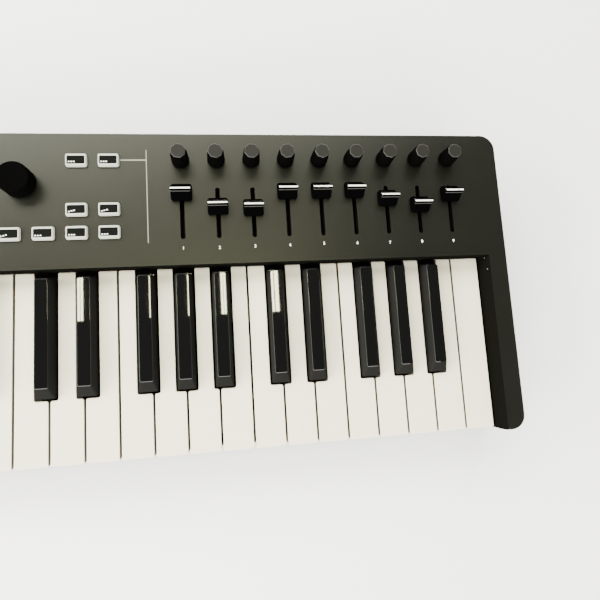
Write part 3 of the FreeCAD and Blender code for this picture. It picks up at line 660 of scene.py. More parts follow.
# ---- keys -----------------------------------------------------------------------------------
@dataclass
class Keys:
    """The white and black keys as thin mouldings, open underneath.

    Attributes:
        gap: Space between white keys.
        wall: Moulding thickness.
        skirt: Depth of the side walls.
        edge: Rounding of a white key's top edge.
        clearance: Space beside a black key.
        lip_depth: Front of a white key to the back of its lip.
        lip_step: Back of the lip to where the skirt starts.
        soft: Radius of a white key's corners.
        tight: Radius of the corners out of sight.
        step: Height of a black key's upright foot over the white keys.
        tail_relief: Space on each side of a tail.
        tail_drop: A tail's top below the white keys' tops.
        tail_depth: Depth of a tail.
        bore_clearance: Play round the pivot rod.
        lug_slot: Width of the slot for the frame's lug.
        slot_ahead: The slot's front, ahead of the rod.
        black_relief: Space behind a black key's moulding.
        black_corner: Radius of a black key's corners at its foot.
        black_top_width: Width of a black key's top.
        black_slope: How far a black key's front leans back.
        black_offsets: Each black key's shift from its pitch line, by white note number.
        first_lone: Number of the first white key with a body of its own.
        count: White keys in all.
    """

    gap: float = 1.6 * MM
    wall: float = 1.8 * MM
    skirt: float = 12.0 * MM
    edge: float = 0.28 * MM
    clearance: float = 1.5 * MM
    lip_depth: float = 2.2 * MM
    lip_step: float = 0.3 * MM
    soft: float = 1.3 * MM
    tight: float = 0.6 * MM
    step: float = 2.0 * MM
    tail_relief: float = 0.3 * MM
    tail_drop: float = 1.5 * MM
    tail_depth: float = 9.5 * MM
    bore_clearance: float = 0.05 * MM
    lug_slot: float = 5.0 * MM
    slot_ahead: float = 7.5 * MM
    black_relief: float = 4.4 * MM
    black_corner: float = 0.9 * MM
    black_top_width: float = 9.0 * MM
    black_slope: float = 7.8 * MM
    black_offsets: dict[int, float] = field(default_factory=lambda: {
        0: -2.1 * MM, 1: 2.2 * MM, 3: -3.4 * MM, 4: 0.0, 5: 3.6 * MM})
    first_lone: int = 18
    count: int = 29

    def __post_init__(self) -> None:
        """Takes the key's sizes from the CAD nodes."""
        low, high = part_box("white_key_c6")
        last_low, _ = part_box("white_key_b5")
        self.front, self.tail_end = low.y, high.y
        self.top, self.lip_z = high.z, low.z
        self.pitch = low.x - last_low.x
        self.right = high.x + (self.pitch - (high.x - low.x)) / 2
        black_low, black_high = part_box("black_key_c_sharp5")
        self.black_front, self.black_top = black_low.y, black_high.z
        self.black_width = black_high.x - black_low.x
        self.wall_y = panel_front()
        self.black_rear = self.wall_y - self.black_relief
        self.tail_top = self.top - self.tail_drop
        self.tail_low = self.tail_top - self.tail_depth

    def line(self, index: int) -> float:
        """X of the pitch line on the low side of white key index."""
        return self.right - (self.count - index) * self.pitch

    def has_black(self, index: int) -> bool:
        """True if a black key stands above white key index."""
        return 0 <= index < self.count - 1 and index % 7 in self.black_offsets

    def black_x(self, index: int) -> float:
        """X of the middle of the black key above white key index."""
        return self.line(index + 1) + self.black_offsets[index % 7]

    def tail(self, low: float, high: float, start: float) -> Surface:
        """The block behind a key: two arms, bored for the pivot rod, and a web ahead of the frame's lug.

        A ray from the bore's middle meets the block's section at the lesser of its reach to the
        upright sides and its reach to the level ones. The bore is a circle.

        Args:
            low: X of the key's low side.
            high: X of its high side.
            start: Y where the block starts.

        Returns:
            The arms and the web.
        """
        rod_low, rod_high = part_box("key_pivot_rod")
        rod = (rod_low + rod_high) / 2
        bore = (rod_high.z - rod_low.z) / 2 + self.bore_clearance
        fore, aft = start - rod.y, self.tail_end - rod.y
        down, up = self.tail_low - rod.z, self.tail_top - rod.z
        corners = np.arctan2([down, down, up, up], [fore, aft, aft, fore])
        angle = np.unique(np.concatenate([np.linspace(-math.pi, math.pi, 32, endpoint=False), corners]))
        along, over = np.cos(angle), np.sin(angle)
        reach = np.minimum(np.where(along > 0, aft, -fore) / np.maximum(np.abs(along), 1e-9),
                           np.where(over > 0, up, -down) / np.maximum(np.abs(over), 1e-9))
        left, right = low + self.tail_relief, high - self.tail_relief
        mid, half = (low + high) / 2, self.lug_slot / 2
        arms = []
        for x0, x1 in ((left, mid - half), (mid + half, right)):
            section = ((x0, bore), (x0, reach), (x1, reach), (x1, bore), (x0, bore))
            rings = [np.stack([np.full_like(angle, x), rod.y + radius * along, rod.z + radius * over],
                              axis=-1) for x, radius in section]
            arms.append(loft(np.array(rings), closed_ends=False))
        web_end, into_arms = rod.y - self.slot_ahead, 0.2 * MM
        web = rectangle(mid, (start + web_end) / 2, self.lug_slot + into_arms, web_end - start)
        return combined(arms + [moulded_block(web, 0.2 * MM, self.tail_low, self.tail_top, 0.1 * MM)])

    def shell(self, corners: np.ndarray, radii: np.ndarray, low: np.ndarray, upper: list[np.ndarray],
              roof: float) -> Surface:
        """An open-bottomed shell: roof and inner wall down, rim, then outer wall up to the top.

        Args:
            corners: The plan, anticlockwise.
            radii: The plan's corner radii.
            low: The rim's height at each corner.
            upper: The rings above the rim on the outside, from the lowest.
            roof: Height of the inside of the top.

        Returns:
            The shell, its first four rings the inside and the rim.
        """
        levels = [(self.wall + 0.25 * MM, roof), (self.wall, roof - 0.5 * MM), (self.wall, low), (0.0, low)]
        return loft(np.array([plan_ring(corners, radii, inset, z) for inset, z in levels] + upper))

    def shaded_sides(self, shell: Surface, around: int) -> Surface:
        """Puts the inside, and the outer walls that don't face forwards, in finish 1, a darker grey ivory that
        is painted shade for the gaps between the keys.

        A wall faces forwards where its ring runs more towards +X than along Y.
        """
        rim = shell.points.reshape(-1, around, 3)[3]
        ahead = np.roll(rim, -1, axis=0) - rim
        side = np.ones((4, around), int)
        side[3] = ahead[:, 0] <= np.abs(ahead[:, 1])
        rest = len(shell.faces) - side.size
        return Surface(shell.points, shell.faces, side.ravel().tolist() + [0] * rest)

    def white(self, index: int) -> Surface:
        """White key index: its plan steps in beside the black keys and its front wall is a lip."""
        low, high = self.line(index) + self.gap / 2, self.line(index + 1) - self.gap / 2
        beside = self.black_width / 2 + self.clearance
        neck_low = self.black_x(index - 1) + beside if self.has_black(index - 1) else low
        neck_high = self.black_x(index) - beside if self.has_black(index) else high
        notch = self.black_front - self.clearance
        lip_back = self.front + self.lip_depth
        skirt_front = lip_back + self.lip_step
        soft, tight = self.soft, self.tight
        plan = [(low, self.front, soft), (high, self.front, soft), (high, lip_back, tight),
                (high, skirt_front, tight)]
        if neck_high < high:
            plan += [(high, notch, soft), (neck_high, notch, soft)]
        plan += [(neck_high, self.wall_y, tight), (neck_low, self.wall_y, tight)]
        if neck_low > low:
            plan += [(neck_low, notch, soft), (low, notch, soft)]
        plan += [(low, skirt_front, tight), (low, lip_back, tight)]
        table = np.array(plan)
        corners, radii = table[:, :2], table[:, 2]
        rim = np.where(corners[:, 1] < (lip_back + skirt_front) / 2, self.lip_z, self.top - self.skirt)
        upper = edge_rings(corners, radii, self.top, self.edge)
        body = self.shell(corners, radii, rim, upper, self.top - self.wall)
        return combined([self.shaded_sides(body, len(upper[0])), self.tail(neck_low, neck_high, self.wall_y)])

    def black_section(self, x: float, half: float, front: float, rear: float, z: float,
                      radius: float) -> np.ndarray:
        """One level ring of a black key, from a row of its profile."""
        corners = rectangle(x, (front + rear) / 2, 2 * half, rear - front)
        return plan_ring(corners, np.full(4, radius), 0.0, z)

    def black(self, index: int) -> Surface:
        """The black key above white key index: straight below, drawn in towards a flat top.

        Above the step each side leans in; the top edge is a quadratic curve from the slope,
        through the sharp corner, onto the flat. A row of the profile is half width, front, rear,
        height and corner radius.
        """
        x, half = self.black_x(index), self.black_width / 2
        base = np.array([half, self.black_front, self.black_rear, self.top + self.step, self.black_corner])
        tip = np.array([self.black_top_width / 2, self.black_front + self.black_slope,
                        self.black_rear - 1.0 * MM, self.black_top, 1.2 * MM])
        inner = tip + np.array([-0.35, 0.45, -0.35, 0.0, 0.3]) * MM
        bend_starts, foot_ends = 0.05, 0.03
        start = tip + (base - tip) * bend_starts
        share = np.linspace(0.0, 1.0, 6)[:, None]
        curve = (1 - share) ** 2 * start + 2 * share * (1 - share) * tip + share ** 2 * inner
        flat = inner + np.array([-0.1, 0.1, -0.1, 0.0, 0.0]) * MM
        corners = rectangle(x, (self.black_front + self.black_rear) / 2, self.black_width,
                            self.black_rear - self.black_front)
        foot = base - np.array([0.0, 0.0, 0.0, 0.3, 0.0]) * MM
        profile = [foot, base + (tip - base) * foot_ends] + list(curve) + [flat]
        upper = [self.black_section(x, *row) for row in profile]
        body = self.shell(corners, np.full(4, self.black_corner), np.full(4, self.top - self.skirt), upper,
                          self.top - self.wall)
        # The inside, the rim and the sides up to the top's curve take finish 1, the black keys' painted shade.
        sides = 6 * len(upper[0])
        body.finish[:sides] = [1] * sides
        return combined([body, self.tail(x - half, x + half, self.black_rear)])

    def build(self) -> None:
        """Makes every key on its own body, and the low keys on their shared ones."""
        whites, blacks = range(self.count), [i for i in range(self.count) if self.has_black(i)]
        kinds = (("white_key", "", whites, self.first_lone, self.white, [IVORY, WHITE_KEY_SHADE]),
                 ("black_key", "_sharp", blacks, self.first_lone - 1, self.black, [EBONY, EBONY_SHADE]))
        for kind, mark, keys, first, shape, finishes in kinds:
            for i in [i for i in keys if i >= first]:
                node = f"{kind}_{WHITE_NOTES[i % 7]}{mark}{2 + i // 7}"
                piece(f"{node}_moulding", shape(i), finishes, node, [node])
        for kind, _, keys, first, shape, finishes in kinds:
            low, node = combined([shape(i) for i in keys if i < first]), f"low_{kind}s"
            piece(f"low_{kind}_mouldings", low, finishes, node, [node])


# ---- panel controls -------------------------------------------------------------------------
@dataclass
class Knob:
    """A tall knob, round at its foot and eight-sided at its top.

    Attributes:
        base_radius: Radius at the foot.
        top_radius: Radius of the round body at the top.
        base_flat: Distance of a facet from the axis, at the foot.
        top_flat: The same at the top.
        chamfer: Bevel round the top.
        sides: Facets.
        around: Points round the knob.
        recess_radius: Radius of the hollow over the bushing.
        recess_depth: Its depth.
        lift: Space between the panel and the knob.
        cap: Thickness of the knob over its shaft's end.
    """

    base_radius: float = 6.45 * MM
    top_radius: float = 5.9 * MM
    base_flat: float = 7.0 * MM
    top_flat: float = 5.05 * MM
    chamfer: float = 0.35 * MM
    sides: int = 8
    around: int = 96
    recess_radius: float = 4.2 * MM
    recess_depth: float = 3.0 * MM
    lift: float = 1.0 * MM
    cap: float = 4.0 * MM

    def surface(self, low: float, high: float, turn_deg: float) -> Surface:
        """The knob about Z: each ring's radius is the lesser of the round and the facets.

        A facet's distance at an angle is its flat divided by the cosine of the angle from the
        facet's middle. Two rings before the foot's make the hollow underneath.

        Args:
            low: Height of the foot.
            high: Height of the top.
            turn_deg: How far the facets are turned.

        Returns:
            The knob: its sides in painted shade, its top in finish 1 painted lighter as if lit from above, and
                the bevel round it in finish 3 a painted highlight.
        """
        angle = np.linspace(0.0, 2 * math.pi, self.around, endpoint=False)
        sector = 2 * math.pi / self.sides
        off_middle = np.mod(angle, sector) - sector / 2
        share = np.concatenate([[0.0, 0.03], np.linspace(0.1, 1.0, 10)])
        foot_bevel = 0.4 * MM
        trim = np.where(share > 0, 0.0, foot_bevel)
        share = np.append(share, [1.0, 1.0])
        trim = np.append(trim, [self.chamfer, self.chamfer + 0.1 * MM])
        height = low + (high - low) * share
        height[-3] -= self.chamfer
        round_part = self.base_radius + (self.top_radius - self.base_radius) * share
        flat = self.base_flat + (self.top_flat - self.base_flat) * share
        radius = np.minimum(round_part[:, None], flat[:, None] / np.cos(off_middle)[None, :]) - trim[:, None]
        spin = angle + math.radians(turn_deg)
        radius = np.vstack([np.full((2, self.around), self.recess_radius), radius])
        height = np.concatenate([[low + self.recess_depth, low], height])
        rings = np.stack([radius * np.cos(spin), radius * np.sin(spin),
                          np.repeat(height[:, None], self.around, axis=1)], axis=-1)
        skin = loft(rings)
        top = (len(rings) - 1) * self.around
        # The top face and the ring round it are painted lighter, as if lit from above.
        skin.finish[-1] = 1
        skin.finish[top - self.around:top] = [1] * self.around
        # The bevel ring is a painted highlight.
        skin.finish[top - 2 * self.around:top - self.around] = [3] * self.around
        return skin

    def build(self, turns: Sequence[float]) -> None:
        """Makes the nine knobs with their shafts."""
        for i, turn in enumerate(turns):
            node = f"knob_{i + 1}"
            low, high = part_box(node)
            mid = middle(node)
            body = self.surface(panel_top() + self.lift, high.z, turn)
            both = combined([body, shaft(low.z, high.z - self.cap).painted(2)]).moved(mid.x, mid.y)
            piece(f"{node}_moulding", both, [KNOB_SHADED_BLACK, KNOB_TOP_LIT, STEEL, KNOB_BEVEL_HIGHLIGHT], node, [node], 20)


@dataclass
class Fader:
    """A slider's cap: a broad waisted foot, a ledge and a ridge with a white line.

    Attributes:
        ridge_half: Half the ridge's depth.
        ledge_half: Half the ledge's depth.
        foot_half: Half the foot's depth.
        foot_width: Half the foot's width.
        top_width: Half the ridge's width.
        foot_height: Top of the foot over the panel.
        ledge_height: The ledge over the panel.
        lift: Space between the panel and the cap.
        waist_power: How sharply the waist falls off above the foot.
        lever: Width and depth of the lever through the slot.
        line_width: Width of the white line along the ridge.
    """

    ridge_half: float = 1.5 * MM
    ledge_half: float = 2.05 * MM
    foot_half: float = 6.2 * MM
    foot_width: float = 7.5 * MM
    top_width: float = 7.1 * MM
    foot_height: float = 2.4 * MM
    ledge_height: float = 9.5 * MM
    lift: float = 1.0 * MM
    waist_power: float = 1.9
    lever: tuple[float, float] = (1.2 * MM, 4.0 * MM)
    line_width: float = 1.05 * MM

    def sections(self, low: float, high: float) -> np.ndarray:
        """Rows of (height, half depth, half width, corner radius), heights over the panel.

        Between the foot and the ledge the depth falls off as a power of the height, which
        leaves the front and rear hollow.

        Args:
            low: Height of the foot's underside.
            high: Height of the ridge's top.

        Returns:
            The rows, from the foot up.
        """
        share = np.linspace(0.0, 1.0, 9)
        waist = np.column_stack([
            self.foot_height + (self.ledge_height - self.foot_height) * share,
            self.ledge_half + (self.foot_half - self.ledge_half) * (1 - share) ** self.waist_power,
            self.foot_width + (self.top_width - self.foot_width) * share,
            (1.9 + (0.7 - 1.9) * share) * MM])
        foot = np.array([[low, self.foot_half - 0.3 * MM, self.foot_width - 0.3 * MM, 1.6 * MM],
                         [low + 0.3 * MM, self.foot_half, self.foot_width, 1.9 * MM]])
        ledge, half, width = self.ledge_height, self.ridge_half, self.top_width
        ridge = np.array([[ledge + 0.12 * MM, half + 0.1 * MM, width, 0.5 * MM],
                          [ledge + 0.3 * MM, half, width, 0.5 * MM],
                          [high - 0.25 * MM, half, width, 0.5 * MM],
                          [high - 0.06 * MM, half - 0.08 * MM, width - 0.08 * MM, 0.5 * MM],
                          [high, half - 0.25 * MM, width - 0.25 * MM, 0.4 * MM]])
        return np.vstack([foot, waist, ridge])

    def build(self) -> None:
        """Makes the nine caps, their levers and their lines."""
        panel_z = panel_top()
        for i in range(COLUMNS):
            node = f"fader_cap_{i + 1}"
            low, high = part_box(node)
            mid = middle(node)
            rings = [plan_ring(rectangle(mid.x, mid.y, 2 * width, 2 * depth), np.full(4, radius), 0.0,
                               panel_z + height)
                     for height, depth, width, radius in self.sections(self.lift, high.z - panel_z)]
            lever = moulded_block(rectangle(mid.x, mid.y, *self.lever), 0.3 * MM, low.z,
                                  panel_z + 2 * self.lift, 0.2 * MM)
            body = loft(np.array(rings))
            around = len(rings[0])
            # The ledge's band takes finish 2, a lighter grey that is a painted highlight along the ledge's edge.
            ledge = (len(rings) - 6) * around
            body.finish[ledge:ledge + around] = [2] * around
            cap = combined([body, lever.painted(1)])
            piece(f"{node}_moulding", cap, [CAP, STEEL, CAP_LEDGE_HIGHLIGHT], node, [node])
            proud = 0.05 * MM
            bar = rectangle(mid.x, mid.y, 2 * self.top_width - 0.2 * MM, self.line_width)
            line = moulded_block(bar, 0.35 * MM, high.z - 0.3 * MM, high.z + proud, proud)
            piece(f"{node}_line", line, INK, node)


@dataclass
class Button:
    """A milky frame round a dark face with a small generic sign.

    Attributes:
        size: The frame's width and depth.
        taper: How far the frame leans in on each side.
        face: The face's width and depth.
        groove: Dark gap round the face.
        recess: The face's depth below the rim.
        corner: Radius of the frame's corners.
        drop: The button's top to the flange's underside.
        flange: How far the flange stands out on each side, and its thickness.
        pitch: One button to the next along the panel.
        row_pitch: The same, front to rear, at the low end.
        end_margin: The low column's middle, from the group's low side.
    """

    size: tuple[float, float] = (14.8 * MM, 9.7 * MM)
    taper: float = 0.35 * MM
    face: tuple[float, float] = (12.1 * MM, 6.1 * MM)
    groove: float = 0.35 * MM
    recess: float = 0.25 * MM
    corner: float = 1.6 * MM
    drop: float = 7.0 * MM
    flange: float = 1.0 * MM
    pitch: float = 22.0 * MM
    row_pitch: float = 16.7 * MM
    end_margin: float = 8.4 * MM

    def frame_surface(self, x: float, y: float, low: float, top: float) -> Surface:
        """The frame: up its outer wall, over the rim and down to the floor under the face."""
        plan = rectangle(x, y, *self.size)
        radii = np.full(4, self.corner)
        hole = rectangle(x, y, *self.face)
        hole_radii = np.full(4, 0.6 * MM)
        lean = self.taper
        levels = [(plan, radii, 0.0, low), (plan, radii, 0.0, top - 2.2 * MM),
                  (plan, radii, lean, top - 0.5 * MM), (plan, radii, lean + 0.15 * MM, top - 0.15 * MM),
                  (plan, radii, lean + 0.45 * MM, top),
                  (hole, hole_radii, -0.15 * MM, top), (hole, hole_radii, 0.0, top - 0.12 * MM),
                  (hole, hole_radii, 0.0, top - 1.1 * MM)]
        rings = np.array([plan_ring(*level) for level in levels])
        skin = loft(rings)
        # The frame's foot, below the panel, is in the dark finish 2: painted shade for the gap round the button.
        skin.finish[:rings.shape[1]] = [2] * rings.shape[1]
        return skin

    def sign(self, number: int, x: float, y: float, z: float) -> Surface:
        """A small sign at the face's lower left: three dots, level, rising or set higher."""
        dot, step = 0.5 * MM, 1.7 * MM
        left, low = x - self.face[0] / 2 + 1.4 * MM, y - self.face[1] / 2 + 1.3 * MM
        rises = [(0.0, 0.0, 0.0), (0.0, 0.45, 0.9), (0.3, 0.3, 0.3)][number % 3]
        ink = 0.03 * MM
        marks = [moulded_block(rectangle(left + i * step, low + rise * MM, 2.2 * dot, 1.6 * dot), 0.25 * MM,
                               z - 0.1 * MM, z + ink, ink) for i, rise in enumerate(rises)]
        return combined(marks)

    def parts(self, x: float, y: float, low: float, top: float, number: int) -> Surface:
        """Frame, groove floor, face and sign of one button."""
        floor = top - 1.0 * MM
        hole = rectangle(x, y, *self.face)
        under = moulded_block(inset_corners(hole, -0.1 * MM), 0.6 * MM, floor - 0.4 * MM, floor, 0.05 * MM)
        face = moulded_block(inset_corners(hole, self.groove), 0.5 * MM, floor - 0.2 * MM,
                             top - self.recess, 0.12 * MM)
        outline = inset_corners(rectangle(x, y, *self.size), -self.flange)
        flange = moulded_block(outline, 1.0 * MM, low, low + self.flange, 0.2 * MM)
        # The flange and the floor under the groove are in the dark finish 2: painted shade seen through the gaps
        # round the frame and the face.
        return combined([self.frame_surface(x, y, low + self.flange - 0.1 * MM, top), flange.painted(2),
                         under.painted(2), face.painted(1),
                         self.sign(number, x, y, top - self.recess).painted(3)])

    def other_places(self) -> list[tuple[float, float]]:
        """The middles of the other buttons: one beside each near one, a front row and a low column."""
        near = middle("button_1")
        rows = [middle(f"button_{i + 1}").y for i in range(3)]
        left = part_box("other_buttons")[0].x + self.end_margin
        places = [(near.x - self.pitch, y) for y in rows]
        places += [(near.x - self.pitch * (i + 2), rows[0]) for i in range(6)]
        return places + [(left, rows[0] + self.row_pitch * i) for i in range(3)]

    def build(self) -> None:
        """Makes the three near buttons and the shared others."""
        finishes = [MILKY, FACE, KNOB_SHADED_BLACK, INK]
        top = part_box("button_1")[1].z
        low = top - self.drop
        for i in range(3):
            node = f"button_{i + 1}"
            mid = middle(node)
            shape = self.parts(mid.x, mid.y, low, top, i)
            piece(f"{node}_moulding", shape, finishes, node, [node])
        group = combined([self.parts(x, y, low, top, i) for i, (x, y) in enumerate(self.other_places())])
        piece("other_button_mouldings", group, finishes, "other_buttons", ["other_buttons"])


@dataclass
class Pads:
    """Eight silicone pads with soft edges.

    Attributes:
        size: A pad's width and depth.
        pitch: Pad to pad.
        margin: The mat's edge to the first pad.
        mat: Thickness of the mat.
        corner: Radius of a pad's corners.
    """

    size: float = 29.0 * MM
    pitch: float = 33.0 * MM
    margin: float = 3.0 * MM
    mat: float = 1.5 * MM
    corner: float = 2.2 * MM

    def build(self) -> None:
        """Makes the pads on their mat."""
        low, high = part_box("pads")
        mid = middle("pads")
        first_x, first_y = (edge + self.margin + self.size / 2 for edge in (low.x, low.y))
        parts = [moulded_block(rectangle(mid.x, mid.y, high.x - low.x, high.y - low.y), 1.0 * MM, low.z,
                               low.z + self.mat, 0.3 * MM)]
        radii = np.full(4, self.corner)
        for column in range(4):
            for row in range(2):
                x, y = first_x + self.pitch * column, first_y + self.pitch * row
                plan = rectangle(x, y, self.size, self.size)
                levels = [(0.0, low.z + self.mat - 0.1 * MM), (0.0, high.z - 1.2 * MM)]
                crown = [(2.0 * MM, high.z - 0.05 * MM), (3.4 * MM, high.z - 0.25 * MM)]
                rings = [plan_ring(plan, radii, inset, z) for inset, z in levels]
                rings += edge_rings(plan, radii, high.z, 1.0 * MM)[1:]
                rings += [plan_ring(plan, radii, inset, z) for inset, z in crown]
                parts.append(loft(np.array(rings)))
        piece("pad_mouldings", combined(parts), SILICONE, "pads", ["pads"])


@dataclass
class Wheel:
    """A thumb wheel: a drum with soft ribs, a finger notch and axle stubs.

    Attributes:
        radius: The drum's radius.
        width: Its width.
        rib: Height of a rib.
        ribs: Ribs round the drum.
        notch_depth: Depth of the finger notch.
        notch_half_deg: Half the notch's angle.
        edge: Rounding of the drum's rims.
        axle: Radius of the axle stubs.
    """

    radius: float = 20.0 * MM
    width: float = 11.0 * MM
    rib: float = 0.22 * MM
    ribs: int = 60
    notch_depth: float = 2.6 * MM
    notch_half_deg: float = 13.0
    edge: float = 1.2 * MM
    axle: float = 2.5 * MM

    def surface(self, notch_deg: float) -> Surface:
        """The wheel about X, its notch turned notch_deg forwards of the top.

        The radius is the drum's, less a cosine rib, less a raised cosine over the notch.
        """
        around = 240
        angle = np.linspace(0.0, 2 * math.pi, around, endpoint=False)
        off = (np.degrees(angle) - (90 + notch_deg) + 180) % 360 - 180
        notch = np.where(np.abs(off) < self.notch_half_deg,
                         0.5 * (1 + np.cos(np.pi * off / self.notch_half_deg)), 0.0) * self.notch_depth
        rim = self.radius - self.rib * (0.5 + 0.5 * np.cos(self.ribs * angle)) * (notch <= 0) - notch
        half = self.width / 2
        turn = np.linspace(0.0, math.pi / 2, 5)
        edge = self.edge
        rows = [(0.55 * self.radius, -half + 0.6 * MM, False), (0.82 * self.radius, -half, False)]
        rows += [(-edge * (1 - math.sin(a)), -half + edge * (1 - math.cos(a)), True) for a in turn]
        rows += [(-edge * (1 - math.sin(a)), half - edge * (1 - math.cos(a)), True) for a in turn[::-1]]
        rows += [(0.82 * self.radius, half, False), (0.55 * self.radius, half - 0.6 * MM, False)]
        radius = np.array([rim + value if follows else np.full(around, value) for value, _, follows in rows])
        along = np.array([x for _, x, _ in rows])
        rings = np.stack([np.repeat(along[:, None], around, axis=1), radius * np.cos(angle),
                          radius * np.sin(angle)], axis=-1)
        return loft(rings)

    def build(self) -> None:
        """Makes both wheels."""
        for node, notch_deg in (("pitch_wheel", 0.0), ("mod_wheel", 25.0)):
            low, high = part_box(node)
            mid = middle(node)
            reach, bevel = (high.x - low.x) / 2, 0.4 * MM
            axle = lathe([(self.axle - bevel, -reach), (self.axle, bevel - reach), (self.axle, reach - bevel),
                          (self.axle - bevel, reach)], 32)
            both = combined([self.surface(notch_deg), axle.turned(Matrix.Rotation(math.pi / 2, 4, "Y"))])
            placed = both.moved(mid.x, mid.y, low.z + self.radius)
            piece(f"{node}_drum", placed, SOFT_TOUCH, node, [node], 50)


@dataclass
class Selector:
    """The broad turning knob beside the display.

    Attributes:
        radius: Its radius.
        flutes: Flutes round its wall.
        flute: Depth of a flute.
        lift: Space between the panel and the knob.
        around: Points round the knob.
    """

    radius: float = 11.0 * MM
    flutes: int = 36
    flute: float = 0.25 * MM
    lift: float = 1.0 * MM
    around: int = 288

    def build(self) -> None:
        """Makes the knob: a fluted wall, a chamfer and a dished top.

        A ring's radius is its row's, less the row's share of a raised cosine for each flute.
        """
        node = "main_encoder"
        low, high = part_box(node)
        mid = middle(node)
        base, rim = panel_top() + self.lift, self.radius
        angle = np.linspace(0.0, 2 * math.pi, self.around, endpoint=False)
        wave = self.flute * (0.5 + 0.5 * np.cos(self.flutes * angle))
        rows = np.array([(rim - 0.4 * MM, base, 0.0), (rim, base + 0.4 * MM, 0.0),
                         (rim, base + 1.4 * MM, 0.0), (rim, base + 1.8 * MM, 1.0), (rim, high.z - 1.0 * MM, 1.0),
                         (rim - 0.3 * MM, high.z - 0.3 * MM, 0.0), (rim - 0.9 * MM, high.z, 0.0),
                         (rim - 1.6 * MM, high.z, 0.0), (0.6 * rim, high.z - 0.5 * MM, 0.0),
                         (0.2 * rim, high.z - 0.8 * MM, 0.0)])
        radius = rows[:, :1] - rows[:, 2:] * wave
        height = np.repeat(rows[:, 1:2], self.around, axis=1)
        rings = np.stack([radius * np.cos(angle), radius * np.sin(angle), height], axis=-1)
        both = combined([loft(rings), shaft(low.z, base + 2.0 * MM).painted(1)])
        # The whole knob is in the knobs' darkened black, whose reflection is turned off.
        piece("main_encoder_moulding", both.moved(mid.x, mid.y), [KNOB_SHADED_BLACK, STEEL], node, [node])


@dataclass
class Display:
    """The display: its housing under the panel, the window and a few generic bars on it.

    Attributes:
        corner: Radius of the window's corners.
        skin: The panel's thickness over the housing, with the space between them.
        surround: The housing's width and depth beyond the window's, both sides together.
        bars: Height of each bar, as a share of half the window's depth.
    """

    corner: float = 1.85 * MM
    skin: float = 3.1 * MM
    surround: tuple[float, float] = (6.3 * MM, 8.3 * MM)
    bars: tuple[float, ...] = (0.5, 0.8, 0.35, 0.65, 0.9, 0.45)

    def build(self) -> None:
        """Makes the housing, the window and the bars."""
        low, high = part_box("display_module")
        mid = middle("display_module")
        under = panel_top() - self.skin
        across, along = high.x - low.x, high.y - low.y
        width, depth = across - self.surround[0], along - self.surround[1]
        housing = moulded_block(rectangle(mid.x, mid.y, across, along), 1.0 * MM, low.z, under, 0.3 * MM)
        window = moulded_block(rectangle(mid.x, mid.y, width, depth), self.corner, under, high.z, 0.25 * MM)
        both = combined([housing.painted(1), window])
        piece("display_window_unit", both, [WINDOW, FRAME], "case", ["display_module"])
        step, proud, foot = width * 0.11, 0.02 * MM, mid.y - depth * 0.3
        centre = (len(self.bars) - 1) / 2
        bars = []
        for i, share in enumerate(self.bars):
            tall = share * depth * 0.5
            plan = rectangle(mid.x + (i - centre) * step, foot + tall / 2, step * 0.45, tall)
            bars.append(moulded_block(plan, 0.3 * MM, high.z - 0.1 * MM, high.z + proud, proud))
        piece("display_bars", combined(bars), PALE_INK, "case")


@dataclass
class Panel:
    """Everything on the control panel.

    Attributes:
        knob_turns: How far each knob's facets are turned, in degrees.
    """

    knob_turns: tuple[float, ...] = (14.0, 8.0, 17.0, 30.0, 4.0, 25.0, 11.0, 38.0, 20.0)

    def __post_init__(self) -> None:
        """Takes the panel's height, front edge and column lines from the CAD nodes."""
        self.z = panel_top()
        self.front = panel_front()
        self.columns = [middle(f"knob_{i + 1}").x for i in range(COLUMNS)]

    def build(self) -> None:
        """Makes the printing and the controls in order."""
        PanelPrint().build(self)
        Knob().build(self.knob_turns)
        for kind in (Fader, Button, Pads, Wheel, Selector, Display):
            kind().build()


